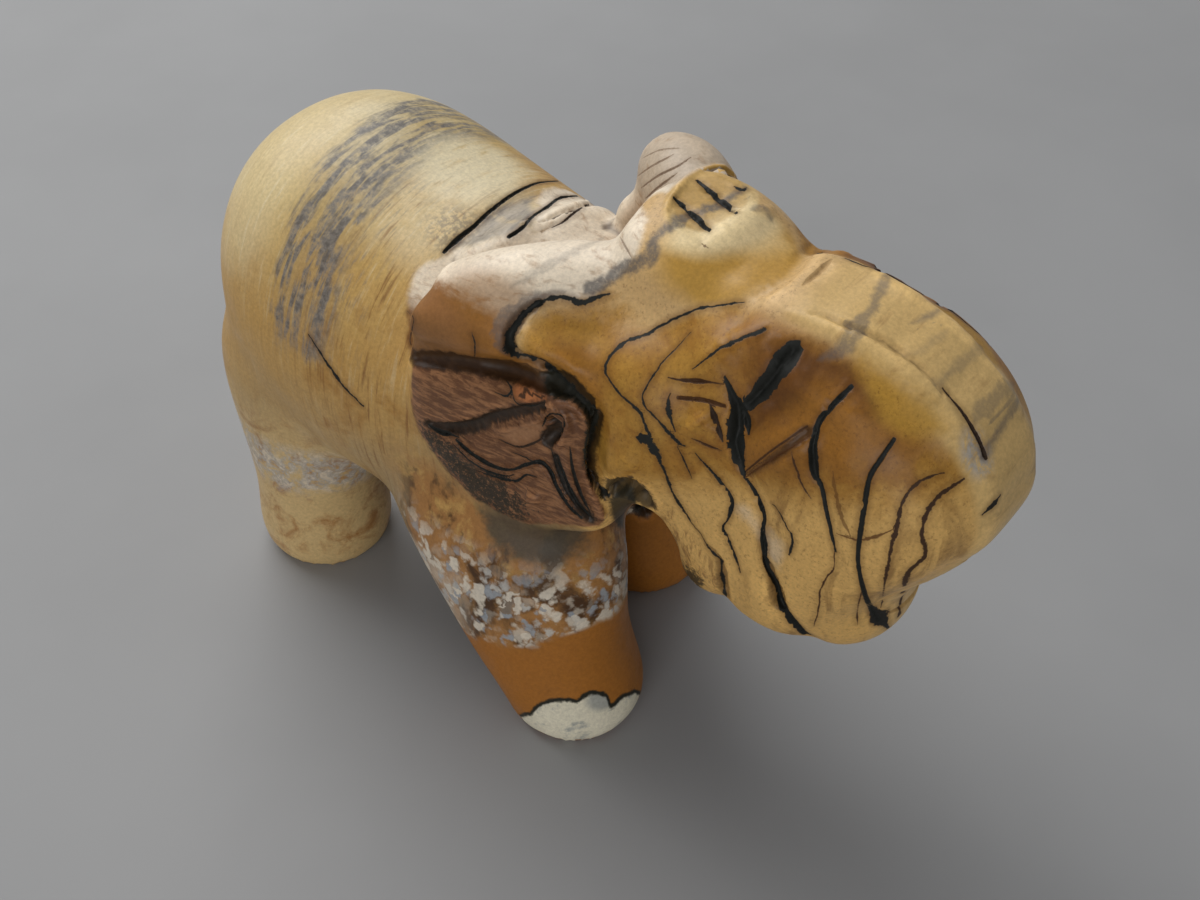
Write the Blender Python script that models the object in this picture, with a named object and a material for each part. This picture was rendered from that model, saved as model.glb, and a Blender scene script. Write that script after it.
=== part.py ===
"""Elephant figurine carved from one piece of banded agate.

The stone is one solid. It stands on four flat soles at Z = 0 and faces -Y, so its own
right side is at -X. Forms are laid down as rounded lumps, fused into one skin,
smoothed like a tumbled stone, and then cut with carving strokes.
"""

import math

import bmesh
import bpy
import numpy as np
from mathutils import Matrix, Vector
from mathutils.bvhtree import BVHTree

MM = 0.001

# Driving dimensions, in millimetres. Places are (forward, right, up) of the elephant,
# where forward is counted from a line through the chest, MIDDLE behind the bounds' middle.
MIDDLE = 7.15
BACK_HEIGHT = 41.4
BELLY_HEIGHT = 12.0
BODY_HALF_WIDTH = 14.0
SOLE_RADIUS = 5.3
ANKLE_RADIUS = 6.3
STANCE_HALF_WIDTH = 8.0
FRONT_FOOT = {"right": 11.2, "left": 5.8}
HIND_FOOT = {"right": -18.9, "left": -15.5}
EAR_FORWARD = {"right": -0.7, "left": 2.4}
EAR_LIFT = {"right": 0.0, "left": 1.8}
HEAD_HALF_WIDTH = 8.4
STRIP_HALF_WIDTH = 3.5
NOSTRIL_SPREAD = 1.5
# How much the trunk's tip rises for each millimetre towards its back rim.
TIP_LEAN = 0.25

# The trunk's raised strip and its rings, as places along the head's outline.
STRIP_START = 12
FIRST_RING = 18
LAST_RING = 45
RING_STEP = 4

# Share of its full depth that a carving stroke has at its two ends.
STROKE_END = 0.3

# How finely the skin is meshed, and how often each coat is smoothed.
ROUGH_VOXEL = 0.75
FINE_VOXEL = 0.5
ROUGH_SMOOTHING = 10
FINE_SMOOTHING = 4
MOST_TRIANGLES = 9700
SOLE_SNAP = 0.05

SIDES = {"right": 1, "left": -1}

STONE_COLOUR = (0.62, 0.40, 0.14, 1.0)
STONE_ROUGHNESS = 0.35


def place(forward, right, up):
    """A point of the elephant in the scene's frame, in metres."""
    return Vector((-right, MIDDLE - forward, up)) * MM


def clear_scene():
    for obj in list(bpy.data.objects):
        bpy.data.objects.remove(obj)


def smooth_curve(points, closed=False, steps=6):
    """Points of a Catmull-Rom curve through the given points, of any dimension."""
    p = np.array(points, float)
    count = len(p)
    spans = count if closed else count - 1
    made = []
    for i in range(spans):
        if closed:
            a, b, c, d = (p[(i + k) % count] for k in (-1, 0, 1, 2))
        else:
            a, b, c, d = (p[min(max(i + k, 0), count - 1)] for k in (-1, 0, 1, 2))
        for t in np.arange(steps) / steps:
            cubic = (3 * b - a - 3 * c + d) * t**3
            made.append(0.5 * (2 * b + (c - a) * t + (2 * a - 5 * b + 4 * c - d) * t**2 + cubic))
    if not closed:
        made.append(p[-1])
    return np.array(made)


def skin_rings(bm, rings):
    """Joins rings of the same number of points into one closed skin with flat ends."""
    loops = [[bm.verts.new(v) for v in ring] for ring in rings]
    count = len(loops[0])
    for low, high in zip(loops, loops[1:]):
        for i in range(count):
            j = (i + 1) % count
            bm.faces.new((low[i], low[j], high[j], high[i]))
    bm.faces.new(list(reversed(loops[0])))
    bm.faces.new(loops[-1])


def round_the_clock(count=28):
    return [2 * math.pi * i / count for i in range(count)]


def squared(value, power):
    """A sine or cosine pushed outwards, which turns an ellipse into a rounded box."""
    return math.copysign(abs(value) ** (2 / power), value)


def lengthwise_loft(bm, stations, power=2.2):
    """Rings across the body. A station is (forward, up, half width, half height)."""
    rings = []
    for forward, up, half_width, half_height in smooth_curve(stations, steps=4):
        rings.append(
            [
                place(
                    forward,
                    half_width * squared(math.cos(a), power),
                    up + half_height * squared(math.sin(a), power),
                )
                for a in round_the_clock()
            ]
        )
    skin_rings(bm, rings)


def upright_loft(bm, stations):
    """Level rings. A station is (up, forward, right, half length, half width)."""
    rings = []
    for up, forward, right, half_length, half_width in smooth_curve(stations, steps=4):
        rings.append(
            [
                place(forward + half_length * math.cos(a), right + half_width * math.sin(a), up)
                for a in round_the_clock()
            ]
        )
    skin_rings(bm, rings)


def lump(bm, centre, radii, turn=0.0):
    """An ellipsoid. Turn pitches its front end up, in degrees."""
    forward, right, up = radii
    matrix = (
        Matrix.Translation(place(*centre))
        @ Matrix.Rotation(math.radians(-turn), 4, "X")
        @ Matrix.Diagonal((right * MM, forward * MM, up * MM, 1))
    )
    bmesh.ops.create_icosphere(bm, subdivisions=4, radius=1, matrix=matrix)


def roll(bm, path, radii):
    """A rounded roll of stone along a path. Each radius pair is (across, up)."""
    points = smooth_curve(path, steps=5)
    sizes = smooth_curve(radii, steps=5)
    rings = []
    for i, (point, (across, tall)) in enumerate(zip(points, sizes)):
        ahead = points[min(i + 1, len(points) - 1)] - points[max(i - 1, 0)]
        ahead = Vector(ahead).normalized()
        up = Vector((0, 0, 1))
        side = ahead.cross(up).normalized()
        rise = side.cross(ahead).normalized()
        rings.append(
            [
                place(*(Vector(point) + side * across * math.cos(a) + rise * tall * math.sin(a)))
                for a in round_the_clock(20)
            ]
        )
    skin_rings(bm, rings)


def add_body(bm):
    """The barrel from the rump to the neck, with a level back."""
    middle = (BACK_HEIGHT + BELLY_HEIGHT) / 2
    half = (BACK_HEIGHT - BELLY_HEIGHT) / 2
    wide = BODY_HALF_WIDTH
    lengthwise_loft(
        bm,
        [
            (-26.7, middle + 0.8, 3.5, 4.5),
            (-25.7, middle + 0.8, 8.0, 9.2),
            (-21.8, middle + 0.5, wide - 2.0, half - 1.4),
            (-16.0, middle, wide, half),
            (-7.0, middle - 1.0, wide, half - 1.0),
            (1.0, middle - 1.2, wide - 1.4, half - 1.5),
            (9.0, middle + 0.6, wide - 3.6, half - 3.9),
            (16.0, middle + 4.0, wide - 6.0, half - 7.0),
        ],
    )


def add_leg(bm, side, foot, knee, thigh):
    """A stubby leg from its sole up into the body.

    Knee and thigh are (up, forward, half length, half width). Above the thigh the leg
    narrows again, so that it runs into the flank with no ledge.
    """
    right = SIDES[side] * STANCE_HALF_WIDTH
    inward = SIDES[side] * 0.6
    upright_loft(
        bm,
        [
            (-0.8, foot, right, SOLE_RADIUS, SOLE_RADIUS),
            (0.6, foot, right, SOLE_RADIUS + 0.5, SOLE_RADIUS + 0.4),
            (2.4, foot, right, ANKLE_RADIUS, ANKLE_RADIUS - 0.2),
            (knee[0], knee[1], right, knee[2], knee[3]),
            (thigh[0], thigh[1], right - inward, thigh[2], thigh[3]),
            (thigh[0] + 7.0, thigh[1], right - 2 * inward, 0.6 * thigh[2], 0.6 * thigh[3]),
        ],
    )


def add_legs(bm):
    for side in SIDES:
        front, hind = FRONT_FOOT[side], HIND_FOOT[side]
        add_leg(bm, side, front, (9.0, front - 3.8, 8.4, 6.4), (19.0, front - 7.4, 11.2, 6.8))
        add_leg(bm, side, hind, (9.0, hind + 0.3, 6.0, 5.7), (22.0, hind + 0.7, 8.4, 6.4))


def head_outline():
    """The head and curled trunk from the side, as (forward, up), anticlockwise."""
    return smooth_curve(
        [
            (14.5, 30.0),
            (15.0, 40.0),
            (20.0, 44.4),
            (27.0, 45.6),
            (33.4, 44.3),
            (38.3, 40.8),
            (40.1, 35.4),
            (36.2, 28.4),
            (32.6, 22.8),
            (30.0, 19.4),
            (26.0, 19.2),
            (20.5, 21.5),
        ],
        closed=True,
        steps=6,
    )


def add_head(bm):
    """The head as a thick wheel: its outline swells from the rim towards the cheeks."""
    outline = head_outline()
    hub = np.array([27.0, 31.5])
    steps = [(1.0, 0.44), (0.97, 0.6), (0.89, 0.78), (0.74, 0.93), (0.5, 0.99), (0.25, 1.0)]
    rings = []
    for sign, order in ((-1, reversed(steps)), (1, steps)):
        for share, width in order:
            rings.append(
                [
                    place(forward, sign * width * HEAD_HALF_WIDTH, up)
                    for forward, up in hub + (outline - hub) * share
                ]
            )
    skin_rings(bm, rings)
    lump(bm, (12.0, 0.0, 30.5), (9.0, 9.0, 8.0))
    for sign in SIDES.values():
        lump(bm, (16.8, 7.2 * sign, 34.6), (6.4, 3.6, 7.4), turn=-20)
        lump(bm, (14.0, 3.4 * sign, 38.8), (5.4, 4.4, 4.6))


def add_muzzle(bm):
    """Trunk root, lips and chin: three rounded steps under the head."""
    lump(bm, (30.9, 0.8, 24.0), (5.2, 5.8, 5.7))
    lump(bm, (27.0, 0.5, 22.4), (3.4, 6.4, 4.4))
    lump(bm, (22.2, 0.5, 22.6), (3.9, 7.0, 5.0))


def add_trunk(bm):
    """The raised strip that carries the rings, and the tip that rests on the crown."""
    outline = head_outline()
    run = outline[STRIP_START:LAST_RING]
    hub = np.array([27.0, 31.5])
    rings = []
    for forward, up in run:
        out = np.array([forward, up]) - hub
        out = out / np.linalg.norm(out)
        ring = []
        for a in round_the_clock(16):
            proud = 0.9 * squared(math.cos(a), 5)
            across = STRIP_HALF_WIDTH * squared(math.sin(a), 5)
            ring.append(place(forward + out[0] * proud, across, up + out[1] * proud))
        rings.append(ring)
    skin_rings(bm, rings)
    tip = [(-7.6, 0.6), (-6.8, 3.2), (-5.0, 4.7), (-1.0, 5.1), (3.0, 4.5), (4.8, 3.2), (5.6, 0.6)]
    rings = []
    for across, radius in tip:
        ring = []
        for a in round_the_clock():
            behind = -1.2 * radius * math.cos(a)
            height = radius * squared(math.sin(a), 3.0)
            ring.append(place(16.8 - behind, across, 42.0 + height + TIP_LEAN * behind))
        rings.append(ring)
    skin_rings(bm, rings)


def add_ear(bm, side):
    """A swept-back ear: a thick roll along its top, and a recessed fan under it."""
    sign = SIDES[side]
    shift = EAR_FORWARD[side]
    roll(
        bm,
        [
            (15.5, 1.5 * sign, 40.4),
            (11.2 + shift, 4.6 * sign, 40.9),
            (6.6 + shift, 8.2 * sign, 40.3 + EAR_LIFT[side]),
            (3.0 + shift, 10.3 * sign, 39.4 + EAR_LIFT[side]),
        ],
        [(3.4, 3.0), (3.6, 3.4), (3.4, 3.3), (2.4, 2.5)],
    )
    fan = smooth_curve(
        [
            (2.8 + shift, 40.6),
            (1.3 + shift, 37.0),
            (0.9 + shift, 32.0),
            (1.9 + shift, 27.0),
            (5.4 + shift, 23.8),
            (9.8, 22.8),
            (13.5, 23.6),
            (16.4, 25.4),
            (16.6, 29.0),
            (15.8, 34.0),
            (16.0, 39.0),
            (9.0, 41.5),
        ],
        closed=True,
        steps=4,
    )
    middle = fan.mean(axis=0)
    rings = []
    for share, right in ((0.9, 6.0), (1.0, 7.0), (1.0, 11.6), (0.96, 12.4), (0.86, 12.8), (0.4, 13.0)):
        rings.append(
            [
                place(forward, sign * (right - 0.18 * (forward - 5.0)), up)
                for forward, up in middle + (fan - middle) * share
            ]
        )
    skin_rings(bm, rings)


def coat(name, meshes, voxel, rounds):
    """Fuses overlapping lumps into one skin and smooths it, and gives back its mesh."""
    bm = bmesh.new()
    for mesh in meshes:
        bm.from_mesh(mesh)
    bmesh.ops.recalc_face_normals(bm, faces=bm.faces)
    fused = bpy.data.meshes.new(name)
    bm.to_mesh(fused)
    bm.free()
    obj = bpy.data.objects.new(name, fused)
    bpy.context.scene.collection.objects.link(obj)
    remesh = obj.modifiers.new("fuse", "REMESH")
    remesh.mode = "VOXEL"
    remesh.voxel_size = voxel * MM
    smooth = obj.modifiers.new("smooth", "SMOOTH")
    smooth.factor = 0.5
    smooth.iterations = rounds
    bpy.context.view_layer.update()
    made = bpy.data.meshes.new_from_object(obj.evaluated_get(bpy.context.evaluated_depsgraph_get()))
    bpy.data.objects.remove(obj)
    return made


def skin_point(tree, start, direction):
    """Where a ray meets the skin, from outside it."""
    hit = tree.ray_cast(start, direction)[0]
    return hit if hit is not None else start


def side_stroke(tree, side, points):
    """A stroke drawn on one side of the stone, from (forward, up) points."""
    sign = SIDES[side]
    outside = 30.0 * sign
    inward = Vector((sign, 0, 0))
    return [skin_point(tree, place(f, outside, u), inward) for f, u in smooth_curve(points, steps=8)]


def top_stroke(tree, points):
    """A stroke drawn on top of the stone, from (forward, right) points."""
    down = Vector((0, 0, -1))
    return [skin_point(tree, place(f, r, 60.0), down) for f, r in smooth_curve(points, steps=8)]


def ring_stroke(tree, forward, up, span):
    """A stroke across the trunk, square to its run, from (forward, up) outside it."""
    hub = np.array([27.0, 31.5])
    out = np.array([forward, up]) - hub
    out = out / np.linalg.norm(out)
    inward = Vector((0, out[0], -out[1]))
    far = hub + out * 30
    return [skin_point(tree, place(far[0], right, far[1]), inward) for right in np.linspace(-span, span, 12)]


def carve(mesh, strokes):
    """Presses each stroke into the skin, or raises it where its depth is below zero."""
    count = len(mesh.vertices)
    where = np.empty(count * 3)
    mesh.vertices.foreach_get("co", where)
    where = where.reshape(-1, 3)
    normals = np.array([v.normal[:] for v in mesh.vertices])
    shift = np.zeros(count)
    for points, half_width, depth in strokes:
        reach = np.full(count, np.inf)
        progress = np.zeros(count)
        for i, (a, b) in enumerate(zip(points, points[1:])):
            along = np.array(b - a)
            length = max(float(along @ along), 1e-18)
            t = np.clip(((where - np.array(a)) @ along) / length, 0, 1)
            gap = np.linalg.norm(where - (np.array(a) + t[:, None] * along), axis=1)
            nearer = gap < reach
            reach[nearer] = gap[nearer]
            progress[nearer] = ((i + t) / (len(points) - 1))[nearer]
        share = np.clip(1 - (reach / (half_width * MM)) ** 2, 0, 1) ** 1.5
        ends = np.clip(STROKE_END + 4 * np.minimum(progress, 1 - progress), 0, 1)
        shift -= share * ends * depth * MM
    where += normals * shift[:, None]
    mesh.vertices.foreach_set("co", where.ravel())
    mesh.update()


def side_carving(tree, side):
    """The strokes both sides carry, as (skin points, half width, depth)."""
    shift = EAR_FORWARD[side]

    def stroke(half_width, depth, *points):
        return side_stroke(tree, side, points), half_width, depth

    return [
        # Under the rolled top of the ear, then the pleats of its fan.
        stroke(1.7, 1.0, (1.4 + shift, 36.2), (7.0 + shift, 37.0), (13.2, 38.6)),
        stroke(1.1, 0.8, (8.0 + shift, 37.2), (14.0, 38.6)),
        stroke(0.9, 0.7, (1.8 + shift, 28.4), (7.0 + shift, 31.2), (10.8, 34.0), (14.4, 36.6)),
        stroke(0.7, 0.5, (3.4 + shift, 26.6), (7.4 + shift, 27.2), (10.4, 29.4), (12.6, 30.2)),
        stroke(0.9, -0.6, (11.6, 35.4), (13.6, 36.2), (14.6, 34.4), (14.4, 29.4), (15.6, 26.0)),
        # The edge of the cheek over the ear, and the hollow under the jaw.
        stroke(
            1.0, 1.0, (10.0, 40.6), (10.2, 39.4), (13.6, 38.9), (16.0, 36.8), (15.6, 33.0), (16.0, 28.4)
        ),
        stroke(2.2, 1.6, (17.4, 26.2), (19.0, 24.4)),
        # The eye, the gouge that parts brow and trunk, and the tusk.
        stroke(2.3, -0.5, (22.6, 38.8), (22.6, 37.8)),
        stroke(0.5, 0.4, (20.6, 40.2), (24.2, 41.0)),
        stroke(0.5, 0.4, (21.0, 38.6), (21.4, 36.8), (23.6, 36.2)),
        stroke(1.4, 0.9, (28.0, 42.8), (26.6, 41.0), (25.6, 39.2)),
        stroke(0.8, 0.7, (24.6, 41.6), (25.6, 39.2), (26.4, 36.0)),
        stroke(0.6, -0.5, (27.0, 36.6), (30.4, 41.0)),
        stroke(0.5, 0.5, (27.2, 35.6), (31.0, 40.2)),
        # Creases between chin, lip and trunk, running out into notches below.
        stroke(0.8, 0.6, (26.6, 36.0), (28.3, 33.8), (28.9, 29.3), (29.9, 25.8), (31.2, 21.8), (31.4, 18.6)),
        stroke(0.6, 0.4, (22.6, 36.0), (25.2, 33.8), (25.6, 29.9), (26.4, 26.0), (26.6, 22.0)),
        stroke(0.8, 0.6, (20.4, 34.0), (22.6, 27.8), (24.6, 25.0), (24.8, 21.6), (24.6, 18.0)),
        # Folds of the trunk's side, and the valley under its rolled shoulder.
        stroke(1.9, 0.7, (23.4, 42.4), (27.0, 42.6), (31.0, 42.2)),
        stroke(0.8, 0.6, (31.3, 43.2), (31.1, 39.6), (32.1, 36.6), (33.4, 32.4), (33.6, 29.0)),
        stroke(0.7, 0.4, (35.0, 41.4), (34.8, 37.6), (35.3, 33.5), (36.0, 29.0)),
    ]


def middle_carving(tree):
    """The strokes across the back, the trunk and its tip."""
    outline = head_outline()
    strokes = [
        (top_stroke(tree, [(-1.0, 7.5), (-2.0, 4.6), (-2.2, 0.0), (-2.0, -4.6), (-1.0, -7.5)]), 0.9, 0.7),
        (top_stroke(tree, [(2.4, 4.0), (1.6, 0.0), (2.0, -3.6), (3.4, -6.0)]), 0.8, 0.6),
        (top_stroke(tree, [(22.2, 5.6), (22.3, 3.0), (22.3, -3.0), (22.6, -6.6)]), 1.2, 0.7),
        (top_stroke(tree, [(13.4, -1.9), (16.2, -0.9)]), 2.2, 0.35),
    ]
    for middle in (-NOSTRIL_SPREAD, NOSTRIL_SPREAD):
        slot = [(13.9, middle - 1.9), (17.0, middle - 0.8)]
        strokes.append((top_stroke(tree, slot), 0.6, 0.9))
    for i in range(FIRST_RING, LAST_RING, RING_STEP):
        forward, up = outline[i]
        strokes.append((ring_stroke(tree, forward, up, STRIP_HALF_WIDTH), 0.7, 0.35))
    return strokes


def lumps(*makers):
    """One mesh holding every lump that the makers lay down."""
    bm = bmesh.new()
    for maker in makers:
        maker(bm)
    mesh = bpy.data.meshes.new("lumps")
    bm.to_mesh(mesh)
    bm.free()
    return mesh


def cut_soles(mesh):
    """Slices the feet off level at Z = 0 and closes each sole with a flat face."""
    bm = bmesh.new()
    bm.from_mesh(mesh)
    everything = bm.verts[:] + bm.edges[:] + bm.faces[:]
    bmesh.ops.bisect_plane(
        bm, geom=everything, dist=1e-7, plane_co=(0, 0, 0), plane_no=(0, 0, 1), clear_inner=True
    )
    rim = [edge for edge in bm.edges if edge.is_boundary]
    bmesh.ops.holes_fill(bm, edges=rim)
    bmesh.ops.triangulate(bm, faces=bm.faces)
    bmesh.ops.recalc_face_normals(bm, faces=bm.faces)
    bm.to_mesh(mesh)
    bm.free()


def thin_out(obj):
    """Brings the skin down to its triangle budget, and keeps the soles level."""
    decimate = obj.modifiers.new("thin", "DECIMATE")
    decimate.ratio = MOST_TRIANGLES / len(obj.data.polygons)
    bpy.context.view_layer.update()
    thin = bpy.data.meshes.new_from_object(obj.evaluated_get(bpy.context.evaluated_depsgraph_get()))
    obj.modifiers.clear()
    bm = bmesh.new()
    bm.from_mesh(thin)
    bmesh.ops.triangulate(bm, faces=bm.faces)
    for vert in bm.verts:
        if vert.co.z < SOLE_SNAP * MM:
            vert.co.z = 0.0
    low = Vector(min(v.co[axis] for v in bm.verts) for axis in range(3))
    high = Vector(max(v.co[axis] for v in bm.verts) for axis in range(3))
    middle = (low + high) / 2
    bmesh.ops.translate(bm, verts=bm.verts, vec=(-middle.x, -middle.y, 0))
    bm.to_mesh(thin)
    bm.free()
    obj.data = thin


def stone():
    material = bpy.data.materials.new("banded agate")
    material.use_nodes = True
    shader = material.node_tree.nodes["Principled BSDF"]
    shader.inputs["Base Color"].default_value = STONE_COLOUR
    shader.inputs["Roughness"].default_value = STONE_ROUGHNESS
    return material


def build():
    clear_scene()
    rough = coat("rough", [lumps(add_body, add_legs, add_head, add_muzzle)], ROUGH_VOXEL, ROUGH_SMOOTHING)
    details = lumps(add_trunk, lambda bm: add_ear(bm, "right"), lambda bm: add_ear(bm, "left"))
    fine = coat("fine", [rough, details], FINE_VOXEL, FINE_SMOOTHING)
    tree = BVHTree.FromPolygons([v.co for v in fine.vertices], [p.vertices for p in fine.polygons])
    carve(fine, side_carving(tree, "right") + side_carving(tree, "left") + middle_carving(tree))
    cut_soles(fine)
    obj = bpy.data.objects.new("elephant", fine)
    bpy.context.scene.collection.objects.link(obj)
    thin_out(obj)
    obj.data.materials.append(stone())
    return obj


if __name__ == "__main__":
    build()
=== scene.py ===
"""Banded agate elephant figurine: its polished skin, fine carving, bands and veins.

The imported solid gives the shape. This script lays a finer skin over it, presses the
carver's cuts into that skin, marks the stone's dark veins on it and polishes it.
"""

import math
from collections import namedtuple

import bmesh
import bpy
import numpy as np
from bpy.props import FloatProperty, FloatVectorProperty, IntProperty, PointerProperty
from mathutils import Matrix, Vector, noise
from mathutils.bvhtree import BVHTree
from mathutils.kdtree import KDTree


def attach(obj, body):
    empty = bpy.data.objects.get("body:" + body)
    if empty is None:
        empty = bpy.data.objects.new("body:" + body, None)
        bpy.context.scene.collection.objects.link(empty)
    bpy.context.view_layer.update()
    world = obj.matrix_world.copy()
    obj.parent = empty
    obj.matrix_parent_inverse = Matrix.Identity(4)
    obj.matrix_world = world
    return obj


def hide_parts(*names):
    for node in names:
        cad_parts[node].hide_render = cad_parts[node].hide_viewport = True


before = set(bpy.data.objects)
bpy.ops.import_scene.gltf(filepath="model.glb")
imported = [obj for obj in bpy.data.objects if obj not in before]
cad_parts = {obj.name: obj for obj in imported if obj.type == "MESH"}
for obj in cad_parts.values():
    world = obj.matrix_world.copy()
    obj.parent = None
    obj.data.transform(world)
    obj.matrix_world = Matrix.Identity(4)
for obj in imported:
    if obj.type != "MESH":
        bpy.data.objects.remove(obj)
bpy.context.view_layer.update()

bl_info = {
    "name": "Banded Agate Elephant",
    "version": (1, 0, 0),
    "blender": (4, 5, 0),
    "location": "View3D > Sidebar > Agate Elephant",
    "description": "Finishes a carved agate elephant and lays out its studio stage",
    "category": "Object",
}

MM = 0.001
SOLID_NAME = "elephant"
PIECE_NAME = "agate_elephant"

# Forward is counted from a line through the chest, this far in front of the origin, in mm.
CHEST = 7.15

# A place well in front of the elephant, in mm.
FRONT = -80.0

# The photograph's frame, and the viewpoint that its perspective gives, in mm and degrees.
PHOTO_WIDTH = 1200
PHOTO_HEIGHT = 900
FOCAL_PIXELS = 1459.0
SENSOR_WIDTH = 36.0
CAMERA_PLACE = (-63.65, -52.98, 102.46)
CAMERA_HEADING = 39.51
CAMERA_TILT = -44.84
CAMERA_ROLL = -0.12

# Steps between the points of a stroke and of an area's outline, in pixels, and the longest
# jump between a stroke's points, in mm.
ROUTE_STEP = 1.5
AREA_STEP = 8
FARTHEST_JUMP = 0.8

# How far behind the nearest skin a place may lie and still count as seen, in metres.
SIGHT_SLACK = 0.0003

# How far above or below the ground face the skin is still moved to it, in mm, and how many
# rounds of smoothing it gets.
FACET_REACH = 1.6
FACET_ROUNDS = 150

# The farthest outside an area or beside a stroke that is told apart, in mm.
OUTSIDE = 3.0

# How far a stroke colours the stone past its last point, and how fast it thins farther away.
OVERRUN = 0.25
THINNING = 4.0

# The polish of the stone: quartz's refraction, and a sheen dulled by handling.
QUARTZ_IOR = 1.54
WORN_GLOSS = 0.25

# How a twin stroke is moved to fit the left side, in mm along x, y and z.
TWIN_SHIFT = {"head": (0.0, 0.0, 0.0), "ear": (0.4, -1.8, 1.2)}

# Where the lights hang and point, and their widths, in metres.
KEY_PLACE = (0.12, 0.36, 0.45)
KEY_TARGET = (0.0, 0.0, 0.03)
KEY_SIZE = 0.5
FILL_PLACE = (-0.52, -0.22, 0.2)
FILL_TARGET = (0.0, 0.0, 0.02)
FILL_SIZE = 0.4
SKY_COLOUR = (0.92, 0.95, 1.0, 1.0)

# How wide a stroke is along its route, as shares of its half width.
TAPERED = (0.3, 0.8, 1.0, 1.0, 0.8, 0.3)
FADING = (1.0, 1.0, 0.8, 0.6, 0.3)
SWELLING = (0.3, 0.5, 0.8, 1.0, 1.0)
THICK_MIDDLE = (0.25, 0.5, 1.0, 1.0, 0.4, 0.2)
THICK_ENDS = (1.0, 0.5, 0.4, 0.5, 1.0)
EVEN = (0.8, 1.0, 1.0, 1.0, 0.8)

# A stroke's half width and depth are in mm. A depth below zero raises a ridge. Its ink is
# how dark the stone is along it: brown at 0.5, black at 1. Its twin says which shift the
# left side's copy takes, or is empty if there is none. Its route is in pixels of the photo.
Stroke = namedtuple("Stroke", "half_width depth ink twin route shape", defaults=(TAPERED,))

# A broad fold's ink paints the shade that lies in the fold and under its overhang, partly together with the
# stone's own dark.
BROAD_FOLDS = {
    # Painted shadow under the ear's rolled top.
    "under ear roll": Stroke(
        0.7, 0.5, 0.6, "ear", ((415, 359), (452, 361), (490, 367), (520, 374), (548, 387)), EVEN
    ),
    # Painted shadow band where the upper fan overhangs the lower one.
    "ear groove": Stroke(
        0.6, 0.5, 0.75, "ear", ((430, 425), (445, 427), (470, 426), (495, 418), (520, 412), (545, 407)),
        EVEN,
    ),
    "ear black pocket": Stroke(
        1.1, 0.7, 0.9, "ear", ((545, 378), (560, 386), (575, 398), (588, 412)), EVEN
    ),
    "ear hook hollow": Stroke(0.9, 0.8, 0.9, "ear", ((553, 421), (557, 430), (549, 440)), EVEN),
    "ear hook ridge": Stroke(
        0.5, -0.5, 0, "ear",
        ((550, 405), (570, 404), (582, 412), (585, 428), (582, 453), (585, 472), (595, 495), (602, 515)),
        EVEN,
    ),
    "ear inner ridge": Stroke(
        0.3, -0.35, 0, "ear", ((543, 419), (550, 411), (563, 411), (568, 424), (565, 437), (559, 446)), EVEN
    ),
    "ear leaf edge": Stroke(0.4, -0.35, 0, "ear", ((498, 431), (520, 425), (541, 419)), EVEN),
    "ear strand": Stroke(
        0.4, -0.35, 0, "ear",
        ((462, 446), (480, 459), (500, 467), (520, 466), (540, 463), (556, 484), (572, 512)), EVEN,
    ),
    "ear knob": Stroke(1.2, -0.55, 0, "ear", ((530, 490), (537, 502))),
    "ear strand hollow": Stroke(
        0.45, 0.45, 0.9, "ear", ((556, 458), (563, 480), (574, 502), (590, 520)), EVEN
    ),
    # Painted soft shade beside the cheek's rear edge.
    "cheek edge": Stroke(
        0.5, 0.45, 0.3, "head", ((538, 303), (522, 315), (509, 336), (515, 353), (532, 358), (548, 366)),
        EVEN,
    ),
    "cheek front": Stroke(
        0.5, 0.7, 0.7, "head", ((598, 414), (592, 436), (587, 458), (592, 482), (604, 494)), EVEN
    ),
    # Painted shade, black, in the hollow between the ear's tip and the jaw.
    "jaw hollow": Stroke(1.0, 1.2, 1.0, "head", ((613, 493), (625, 487), (636, 492), (645, 512)), EVEN),
    "jaw flap": Stroke(1.2, -0.35, 0, "head", ((606, 470), (625, 462), (640, 470))),
    "trunk shoulder": Stroke(
        1.2, -0.3, 0, "head", ((790, 312), (850, 335), (877, 353), (912, 376), (942, 403), (960, 432))
    ),
    "under shoulder": Stroke(1.8, 0.3, 0, "head", ((775, 346), (805, 362), (835, 382), (862, 402))),
    "brow": Stroke(1.3, -0.3, 0, "head", ((765, 326), (730, 347), (700, 372))),
    "eye ball": Stroke(1.5, -0.35, 0, "head", ((694, 415), (702, 425))),
    "tip crease": Stroke(0.9, 0.3, 0, "", ((811, 245), (797, 265), (776, 285), (756, 296))),
    "tip rim": Stroke(
        0.4, -0.3, 0, "",
        ((668, 228), (666, 210), (674, 194), (690, 177), (709, 169), (726, 169), (741, 184)),
    ),
    "tip pillow": Stroke(1.5, -0.3, 0, "", ((706, 250), (730, 236), (756, 216), (772, 208))),
    "chin fold": Stroke(0.6, 0.6, 0.3, "head", ((708, 546), (719, 560), (724, 592)), SWELLING),
    "lip fold": Stroke(0.6, 0.6, 0.3, "head", ((764, 556), (772, 575), (780, 605)), SWELLING),
    "ear bridge": Stroke(2.0, -0.6, 0, "", ((475, 254), (520, 237), (570, 222), (625, 212)), EVEN),
    "tusk": Stroke(0.36, 0.22, 0.5, "head", ((750, 474), (782, 452), (806, 433)), FADING[::-1]),
    "nape fold": Stroke(0.7, -0.4, 0, "", ((540, 222), (565, 210), (592, 201))),
    "strip crease": Stroke(
        0.4, 0.25, 0.1, "", ((816, 312), (842, 323), (877, 337), (906, 355), (928, 373), (944, 390))
    ),
}
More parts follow.
